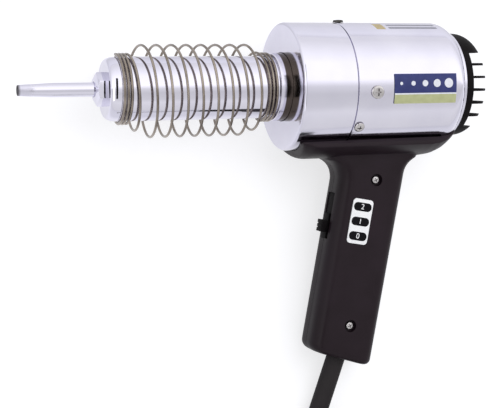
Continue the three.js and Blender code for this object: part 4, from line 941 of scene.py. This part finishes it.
saddle_inside = 30.0
saddle_end = saddle_rear - saddle_flat
saddle_line = [
    (saddle_front, saddle_inside),
    (saddle_front, saddle_radius - 4.4),
    (saddle_front + 2.4, saddle_radius - 2.2),
    (saddle_front + 10.9, saddle_radius),
    (saddle_flat, saddle_radius),
    (saddle_flat + saddle_end * 0.34, saddle_radius - 0.8),
    (saddle_flat + saddle_end * 0.62, saddle_radius - 3),
    (saddle_flat + saddle_end * 0.84, saddle_radius - 6.2),
    (saddle_rear, saddle_radius - 9.6),
    (saddle_rear, saddle_inside),
]


def swept(line, angle):
    """A line of (x, radius) points at an angle round the barrel's axis, from the near side upwards."""
    return [(x, radius * math.sin(angle), radius * math.cos(angle)) for x, radius in line]


saddle_rings = []
saddle_steps = 48
for k in range(saddle_steps + 1):
    angle = math.radians(180 + saddle_edge + (180 - 2 * saddle_edge) * k / saddle_steps)
    saddle_rings.append(swept(saddle_line, angle))
saddle = build("saddle", *skin(saddle_rings))
slope_place = on_middle(saddle_front, saddle_front_y, saddle_lean)
slope = block("slope", (-60, -60, -60), (0, 60, 60), slope_place)
grip = worked(worked(grip, [saddle], "UNION"), [slope])
remesh = grip.modifiers.new("even", "REMESH")
remesh.mode = "VOXEL"
remesh.voxel_size = 0.7 * MM
soften = grip.modifiers.new("soften", "SMOOTH")
soften.factor = 0.5
soften.iterations = 12
settle(grip)

hollow_front = -1.0
drum_hollow = turned("drum_hollow", [
    (hollow_front, 0.0),
    (hollow_front, drum_radius + seat),
    (shoulder_x, drum_radius + seat),
    *[(x + 0.2, r + 0.25) for x, r in shoulder[1:]],
    (mouth_x + seat, mouth_radius + seat),
    (mouth_x + seat, 0.0),
], 192)

# The saddle's side edges stand a little off the drum, more at the front, so that each ends in a thin lip.
lip_deep = 5.0
lip_line = [(0.0, 40.0), (112.0, 40.0), (112.0, 46.3), (0.0, 47.8)]
for side in (-1, 1):
    rings = []
    for spare in (-lip_deep, 3.0):
        angle = math.radians(270 + side * (90 - saddle_edge + spare))
        rings.append(swept(lip_line, angle))
    grip = worked(grip, [build("lip_groove", *skin(rings))])

# The window of the switch, two counterbores for the grip's screws, the seat of the switch's plate, a pocket
# for a motor screw's head and the hole of the bend relief are cut where the moulding has them.
grip_lean = -front_line[2]
window_length = 33.6
window_width = 11.0
window_deep = 6.0
window_y = -76.2 - window_length / 2 * math.cos(grip_lean)
window_place = on_middle(line_x(front_line, window_y), window_y, grip_lean)


def rod(name, place, radius, low, high, steps=64):
    """A plain cylinder along a place's z."""
    return build(name, *skin(lathed([(radius, low), (radius, high)], steps)), place)


def slab(name, outline, low, high, place):
    """A flat outline given thickness along a place's z."""
    return build(name, *skin([[(u, v, z) for u, v in outline] for z in (low, high)]), place)


screw_spots = {"upper": (66.2, -67.3), "lower": (45.5, -172.0)}
bore_radius = 4.5
bore_floor = 12.8
pocket_radius = 5.3
pocket_top = drum_radius + 2.8
legend_size = (16.0, 32.4)
legend_round = 2.6
legend_spare = 0.3
legend_top = grip_half + 0.2
legend_thick = 0.9
legend_place = on_middle(53.2, -96.6, grip_lean)
legend_hole = rounded(*[size + 2 * legend_spare for size in legend_size], legend_round + legend_spare, 8)
relief_across = (math.cos(relief_lean), -math.sin(relief_lean), 0)
relief_turn = Matrix((relief_across, (0, 0, 1), relief_way)).transposed()
relief_place = tool @ Matrix.Translation(relief_start * MM) @ relief_turn.to_4x4()
window_high = (window_deep, window_length / 2, window_width / 2)
window_low = [-size for size in window_high]
cutters = [
    drum_hollow,
    block("window", window_low, window_high, window_place),
    slab("legend_seat", legend_hole, legend_top - legend_thick - legend_spare, 20, legend_place),
    rod("screw_pocket", outwards(motor_screw_x, motor_screws["lower"]), pocket_radius, 40, pocket_top),
    rod("relief_hole", relief_place, 7.2, -7, 10),
]
for x, y in screw_spots.values():
    cutters.append(rod("counterbore", on_middle(x, y), bore_radius, bore_floor, 20))
grip = worked(grip, cutters)

# Moulded ABS, spark-eroded mould: brown-black, with a fine even grain that gives it a broken, silky gloss.
grained_abs = finish(
    "grained_black_abs", "1B1117", "22181F", (0.36, 0.48),
    ior=1.54, gloss=0.16, patch=25, grain=0.7, depth=0.035,
)
for place, low, high in (("near", parting, 30.0), ("far", -30.0, -parting)):
    half = grip.copy()
    half.data = grip.data.copy()
    half.name = f"grip_{place}_moulding"
    bpy.context.scene.collection.objects.link(half)
    worked(half, [block("side", (-50, -250, low), (200, 50, high))], "INTERSECT")
    dress(half, grained_abs, "black_plastic", f"grip_{place}", sharp=38)
bpy.data.objects.remove(grip)

grip_head = {"radius": 2.8, "height": 2.0, "shank": 1.6, "shank_to": 5.0}
recess_turn = math.radians(25)
for place, (x, y) in screw_spots.items():
    spot = on_middle(x, y, recess_turn)
    screw = pan_screw(f"grip_{place}_screw", spot, bore_floor + seat, **grip_head)
    dress(screw, nickel, "steel", f"grip_screw_{place}", sharp=28)


# The bend relief is a rubber sleeve over the cord, held by a flange inside the grip. It keeps the thickness
# of a finger almost to its end and then tapers to the cord.
relief_radius = 6.9
relief_tip = 5.7
relief_taper = 12.0
relief_flange = 9.4
flange_low, flange_high = -5.5, -3.3
relief_line = [(0.0, flange_low), (relief_flange, flange_low), (relief_flange, flange_high)]
relief_line += [(relief_radius, flange_high), (relief_radius, relief_length - relief_taper)]
taper_steps = 6
for i in range(1, taper_steps + 1):
    share = i / taper_steps
    z = relief_length - relief_taper * (1 - share) - 0.4
    relief_line.append((relief_radius - (relief_radius - relief_tip) * share, z))
relief_line += [(relief_tip - 0.4, relief_length), (0.0, relief_length)]
relief = build("bend_relief", *skin(lathed(relief_line, 64)), relief_place)

# Moulded rubber: black, dull, with a soft bloom where it is flexed.
moulded_rubber = finish(
    "moulded_rubber", "1F1B1D", "2A2627", (0.6, 0.75), ior=1.52, gloss=0.25, patch=14, grain=0.6, depth=0.03
)
dress(relief, moulded_rubber, "black_rubber", "strain_relief")


# The switch has a black face in the window and a knob with a finger piece that slides along it. The knob has
# two grooves for the thumb. Its plate is white plastic with a black oval and a number for each position.
face_sink = 0.6
face_floor = 5.4
face_half = window_width / 2 - seat
face_end = window_length / 2 - seat
face_low, face_high = (face_sink, -face_end, -face_half), (face_floor, face_end, face_half)
switch_face = block("switch_face", face_low, face_high, window_place)
dress(eased(switch_face, 0.3, 2), satin_abs, "black_plastic", "switch_body")

knob_low = -face_end
knob_base = 18.0
knob_half = 4.0
knob_thick = 1.3
knob_rise = 5.6
thumb_start = knob_low + 4.2
thumb_length = 8.6
knob_floor = face_sink - seat
knob_top = knob_floor - knob_thick
thumb_top = knob_top - knob_rise + knob_thick
slider_low, slider_high = (knob_top, knob_low, -knob_half), (knob_floor, knob_low + knob_base, knob_half)
knob = block("switch_thumb_knob", slider_low, slider_high, window_place)
thumb_low = (thumb_top, thumb_start, -knob_half)
thumb_high = (knob_top + 0.2, thumb_start + thumb_length, knob_half)
knob = worked(knob, [block("thumb", thumb_low, thumb_high, window_place)], "UNION")
groove_pitch = thumb_length / 3
groove_half = 0.35
groove_deep = 0.6
grooves = []
for i in (1, 2):
    middle = thumb_start + groove_pitch * i
    low = (thumb_top - 1, middle - groove_half, -2 * knob_half)
    high = (thumb_top + groove_deep, middle + groove_half, 2 * knob_half)
    grooves.append(block("groove", low, high, window_place))
knob = eased(worked(knob, grooves), 0.25, 2)
dress(knob, satin_abs, "black_plastic", "switch_knob", body="switch")

# Printed polystyrene: white, smooth and a little glossy.
white_plastic = finish(
    "white_polystyrene", "F6F6F6", "FDFDFD", (0.25, 0.35), ior=1.59, patch=6, grain=2, depth=0.005
)
plate_outline = rounded(*legend_size, legend_round, 8)
plate = slab("switch_plate", plate_outline, legend_top - legend_thick, legend_top, legend_place)
dress(eased(plate, 0.2, 3), white_plastic, "white_plate", "switch_legend")

# Screen ink: flat black, a hair thick, and white for the numbers on it.
black_ink = finish(
    "black_screen_ink", "08070A", "0D0B10", (0.4, 0.5), gloss=0.1, patch=2, grain=0.3, depth=0.004
)
white_ink = finish("white_screen_ink", "FAFAFA", "FFFFFF", (0.45, 0.55), patch=2, grain=0.3, depth=0.004)
oval_outline = rounded(14.0, 6.2, 3.0, 10)
oval_thick = 0.05
oval_pitch = 10.6
number_size = 5.4
number_thick = 0.02
for number, row in (("2", 1), ("1", 0), ("0", -1)):
    spot = legend_place @ Matrix.Translation((0, row * oval_pitch * MM, 0))
    oval = slab(f"oval_{number}", oval_outline, legend_top - 0.02, legend_top + oval_thick, spot)
    dress(oval, black_ink, "black_plastic")
    text = bpy.data.curves.new(f"number_{number}", "FONT")
    text.body = number
    text.size = number_size * MM
    text.align_x = "CENTER"
    text.align_y = "CENTER"
    text.extrude = number_thick * MM
    digit_place = spot @ Matrix.Translation((0, 0, (legend_top + oval_thick + 0.01) * MM))
    digit = placed(f"number_{number}", text, digit_place)
    settled = bpy.data.meshes.new_from_object(digit.evaluated_get(bpy.context.evaluated_depsgraph_get()))
    bpy.data.objects.remove(digit)
    dress(placed(f"switch_number_{number}", settled, digit_place), white_ink, "white_plate")


# A foil label is stuck on the drum's near side and a small print is on its top. Both carry plain marks:
# bands of colour, and dots that grow with the heat.
def wrapped(name, from_x, to_x, low, high, lift, thick):
    """A thin patch that lies on the drum, between two angles, this far off it and this thick."""
    inner, outer = drum_radius + lift, drum_radius + (lift + thick)
    section = ((from_x, inner), (to_x, inner), (to_x, outer), (from_x, outer))
    steps = max(int((high - low) / 1.5), 2)
    angles = [math.radians(low + (high - low) * k / steps) for k in range(steps + 1)]
    return build(name, *skin([swept(section, angle) for angle in angles]))


# Printed foil: ink under a satin varnish, with the fine dots of its print.
foils = {}
for colour, dark, light in (
    ("blue", "2B3268", "343B72"),
    ("green", "B2B587", "BEC193"),
    ("pale", "E0E2EA", "ECEDF2"),
):
    foils[colour] = finish(
        f"printed_{colour}_foil", dark, light, (0.3, 0.4), gloss=0.3, patch=4, grain=0.35, depth=0.003
    )
label_front, label_rear, label_low, label_high = 65.8, 113.8, -15.5, 10.5
label_lift, label_thick = 0.3, 0.5
label_face = label_lift + label_thick
band_high = label_low + 8
rule_high = label_low + 9.2
film = 0.03
label = wrapped("drum_label", label_front, label_rear, label_low, label_high, label_lift, label_thick)
dress(label, foils["blue"], "blue_plate", "name_plate")
band = wrapped("label_green_band", label_front, label_rear, label_low, band_high, label_face, film)
dress(band, foils["green"], "blue_plate")
rule = wrapped("label_pale_rule", label_front, label_rear, band_high, rule_high, label_face, film)
dress(rule, foils["pale"], "blue_plate")
dot_first, dot_pitch = 5.0, 9.2
dot_smallest, dot_growth = 2.2, 1.1
for i in range(5):
    size = dot_smallest + dot_growth * i
    spot = outwards(label_front + dot_first + dot_pitch * i, (rule_high + label_high) / 2)
    dot = rod(f"label_dot_{i + 1}", spot, size / 2, drum_radius + 0.6, drum_radius + label_face + film, 40)
    dress(dot, foils["pale"], "blue_plate")

# Screen ink on the bare plate: straw for one slanting mark and a thin grey for two bars.
tan_ink = finish("tan_screen_ink", "C2AC74", "CFBC8A", (0.35, 0.45), patch=3, grain=0.3, depth=0.003)
grey_ink = finish("grey_screen_ink", "8A8A98", "9A9AA6", (0.35, 0.45), patch=3, grain=0.3, depth=0.003)
dress(wrapped("top_tan_mark", 64, 71, 62, 76, 0.0, film), tan_ink, "blue_plate")
bar_low, bar_pitch, bar_wide = 63, 7, 3.5
for i in range(2):
    low = bar_low + bar_pitch * i
    bar = wrapped(f"top_grey_bar_{i + 1}", 74, 112, low, low + bar_wide, 0.0, film)
    dress(bar, grey_ink, "blue_plate")


# What is inside keeps its solids: the heater in its mica sleeve, the series motor, its fan and brush gear.
# Little of it shows through the intake slots, so each has its own material and no more. Metals come first:
# a dull grey casting, ground steel, dark core sheets on edge, brown-red enamelled wire and yellow strip.
def inside(material, *names):
    """Gives a material to solids of the tool's inside."""
    for name in names:
        solid = frame["nodes"][name]
        solid.data.materials.clear()
        solid.data.materials.append(material)


inside(
    finish("die_cast_aluminium", "9A9A9C", "B2B2B4", (0.38, 0.55), 1.0, patch=6, grain=0.6, depth=0.03),
    "motor_mount", "fan_baffle", "rear_bracket",
)
inside(
    finish("ground_steel", "A8A6A2", "C0BEBA", (0.2, 0.34), 1.0, patch=4, grain=0.3, depth=0.004),
    "front_bearing", "rear_bearing", "motor_shaft", "fan_nut", "grip_strap", "heater_element",
    "brush_spring_upper", "brush_spring_lower",
)
sheets = {"patch": 9, "grain": 0.5, "depth": 0.06, "stretch": (6, 0.2, 0.2)}
inside(
    finish("laminated_core_iron", "4C4C50", "6A6A70", (0.4, 0.6), 1.0, **sheets),
    "field_stack", "armature_core",
)
windings = {"patch": 5, "grain": 0.6, "depth": 0.15, "stretch": (4, 1, 1)}
inside(
    finish("enamelled_copper_wire", "8E4A26", "C07844", (0.22, 0.36), 1.0, **windings),
    "field_coil_upper", "field_coil_lower", "armature_winding_front", "armature_winding_rear", "commutator",
)
inside(
    finish("brass_strip", "A6853F", "C9A860", (0.25, 0.4), 1.0, patch=6, grain=0.4, depth=0.004),
    "brush_holder_upper", "brush_holder_lower",
)

# The rest is dull: black carbon, chalky white ceramic, honey-coloured mica and dark grey nylon.
inside(
    finish("pressed_carbon", "232325", "353538", (0.5, 0.7), ior=1.6, patch=3, grain=0.2, depth=0.01),
    "carbon_brush_upper", "carbon_brush_lower",
)
inside(
    finish("fired_ceramic", "D9D1BF", "E9E2D3", (0.7, 0.85), ior=1.6, patch=12, grain=0.5, depth=0.02),
    "heater_core",
)
inside(
    finish("pressed_mica", "B79F72", "D3BF96", (0.35, 0.55), ior=1.58, patch=7, grain=1.5, depth=0.02),
    "mica_sleeve", "core_disc_front", "core_disc_rear",
)
inside(
    finish("moulded_fan_nylon", "262A30", "353A42", (0.4, 0.55), ior=1.53, patch=15, grain=0.8, depth=0.02),
    "fan",
)


# The bench is a pale sheet. What the lamps leave on it is lifted to white for the camera, and the welder's
# shadow stays. Mirrors see it lifted less: most along the drum's lower edge, least just past its upper edge.
def card(name, half_width, half_height, material, place):
    """A flat sheet in the plane of a place, about its middle."""
    mesh = bpy.data.meshes.new(name)
    mesh.from_pydata([(u * half_width, v * half_height, 0) for u, v in four_corners], [], [(0, 1, 2, 3)])
    mesh.materials.append(material)
    return placed(name, mesh, place)


def grey_levels(owner, value, low, high, levels):
    """A grey that follows a value through levels, each given with where it lies between low and high."""
    share = add_node(owner, "MapRange", {"Value": value, "From Min": low, "From Max": high})
    ramp = add_node(owner, "ValToRGB", {"Fac": share.outputs["Result"]})
    stops = ramp.color_ramp.elements
    for i, (where, level) in enumerate(levels):
        stop = stops[i] if i < 2 else stops.new(1.0)
        stop.position = (where - low) / (high - low)
        stop.color = (level, level, level, 1.0)
    return ramp.outputs["Color"]


paper = bpy.data.materials.new("pale_bench_paper")
paper.use_nodes = True
paper_shader = paper.node_tree.nodes["Principled BSDF"]
paper_shader.inputs["Roughness"].default_value = 0.9
paper_shader.inputs["Specular IOR Level"].default_value = 0.0
fibre = add_node(paper, "TexNoise", {"Scale": 300.0, "Detail": 2.0})
tone = add_node(paper, "ValToRGB", {"Fac": fibre.outputs["Fac"]})
tone.color_ramp.elements[0].color = linear("B2B2B5")
tone.color_ramp.elements[1].color = linear("B6B6B9")
paper.node_tree.links.new(tone.outputs["Color"], paper_shader.inputs["Base Color"])
rays = add_node(paper, "LightPath", {})
spot = add_node(paper, "SeparateXYZ", {"Vector": add_node(paper, "TexCoord", {}).outputs["Object"]})
sheet_low, sheet_high = -0.1, 0.6
mirror_levels = ((0.0, 0.45), (0.05, 0.68), (0.11, 0.6), (0.155, 0.6), (0.17, 0.36), (0.26, 0.51), (0.5, 0.6))
for_mirrors = add_node(paper, "Math", {
    0: grey_levels(paper, spot.outputs["Y"], sheet_low, sheet_high, mirror_levels),
    1: rays.outputs["Is Glossy Ray"],
}, operation="MULTIPLY")
camera_lift = 0.68
lift = add_node(paper, "Math", {
    0: rays.outputs["Is Camera Ray"],
    1: camera_lift,
    2: for_mirrors.outputs["Value"],
}, operation="MULTIPLY_ADD")
paper_shader.inputs["Emission Color"].default_value = (1, 1, 1, 1)
paper.node_tree.links.new(lift.outputs["Value"], paper_shader.inputs["Emission Strength"])
bench_sheet = card("bench_sheet", 4.0, 4.0, paper, bench)


# The studio is a white tent: its walls show white to the camera, and light the welder at a plain level. To
# polished metal they show as they are: brightest over the drum, and grey round the gap under the camera.
world = bpy.data.worlds.new("white_tent")
bpy.context.scene.world = world
world.use_nodes = True
shell = world.node_tree.nodes["Background"]
shell.inputs["Color"].default_value = (0.94, 0.95, 1.0, 1.0)
shell.inputs["Strength"].default_value = 0.62
level_top = 1.5
walls = (
    (-170, 0.8), (-90, 0.8), (-62, 0.87), (-48, 0.92), (-36, 0.79), (-14, 0.75), (0, 0.9),
    (12, 1.4), (44, 1.36), (72, 1.12), (90, 0.97), (128, 0.97), (165, 0.82),
)
way = add_node(world, "TexCoord", {}).outputs["Generated"]
level_way = add_node(world, "VectorRotate", {"Vector": way, "Angle": -roll}, rotation_type="X_AXIS")
parts = add_node(world, "SeparateXYZ", {"Vector": level_way.outputs["Vector"]})
round_axis = add_node(world, "Math", {0: parts.outputs["Y"], 1: parts.outputs["Z"]}, operation="ARCTAN2")
wall_levels = [(math.radians(angle), level / level_top) for angle, level in walls]
bands = grey_levels(world, round_axis.outputs["Value"], -math.pi, math.pi, wall_levels)
mirrored = add_node(world, "Background", {"Color": bands, "Strength": level_top})
seen = add_node(world, "Background", {"Color": (1, 1, 1, 1), "Strength": 1.0})
tent_rays = add_node(world, "LightPath", {})
clear = add_node(world, "Math", {
    0: tent_rays.outputs["Is Camera Ray"],
    1: tent_rays.outputs["Is Transmission Ray"],
}, operation="MAXIMUM")
in_metal = add_node(world, "MixShader", {
    "Fac": tent_rays.outputs["Is Glossy Ray"],
    1: shell.outputs["Background"],
    2: mirrored.outputs["Background"],
})
all_round = add_node(world, "MixShader", {
    "Fac": clear.outputs["Value"],
    1: in_metal.outputs["Shader"],
    2: seen.outputs["Background"],
})
tent_surface = world.node_tree.nodes["World Output"].inputs["Surface"]
world.node_tree.links.new(all_round.outputs["Shader"], tent_surface)


# Two soft boxes: a wide one over the drum, whose front is hidden from the metal by its diffuser, and a tall
# one by the nozzle's end that gives the line on the grip's front corner.
def soft_box(name, spot, aim, wide, tall, level):
    """A lamp with a white front of this size and level, set between two points of the tool's frame."""
    data = bpy.data.lights.new(name, "AREA")
    data.shape = "RECTANGLE"
    data.size = wide
    data.size_y = tall
    data.energy = level * math.pi * wide * tall
    back = (Vector(spot) - Vector(aim)).normalized()
    side = Vector((0, 1, 0)).cross(back).normalized()
    facing = Matrix((side, back.cross(side), back)).transposed().to_4x4()
    lamp = placed(name, data, tool @ Matrix.Translation(spot) @ facing)
    lamp.visible_camera = False
    return lamp


drum_box = soft_box("drum_soft_box", (0.42, 0.37, 0.95), (0.04, 0.0, 0.0), 1.3, 0.9, 1.5)
drum_box.visible_glossy = False
soft_box("grip_soft_box", (-0.75, -0.15, 0.7), (0.05, -0.1, 0.0), 0.3, 1.1, 0.9)

# A tall black flag stands round the camera. Only polished metal shows it: as dark lines on its rounded edges.
black_cloth = bpy.data.materials.new("black_flag_cloth")
black_cloth.use_nodes = True
cloth_shader = black_cloth.node_tree.nodes["Principled BSDF"]
cloth_shader.inputs["Base Color"].default_value = (0.0, 0.0, 0.0, 1.0)
cloth_shader.inputs["Specular IOR Level"].default_value = 0.0
flag_wide, flag_tall = 0.2, 1.25
flag_place = camera.matrix_world @ Matrix.Translation((0, 0, 0.02))
flag = card("black_flag", flag_wide / 2, flag_tall / 2, black_cloth, flag_place)
flag.visible_camera = False
flag.visible_diffuse = False
flag.visible_transmission = False
flag.visible_shadow = False

bpy.context.scene.view_settings.view_transform = "Standard"
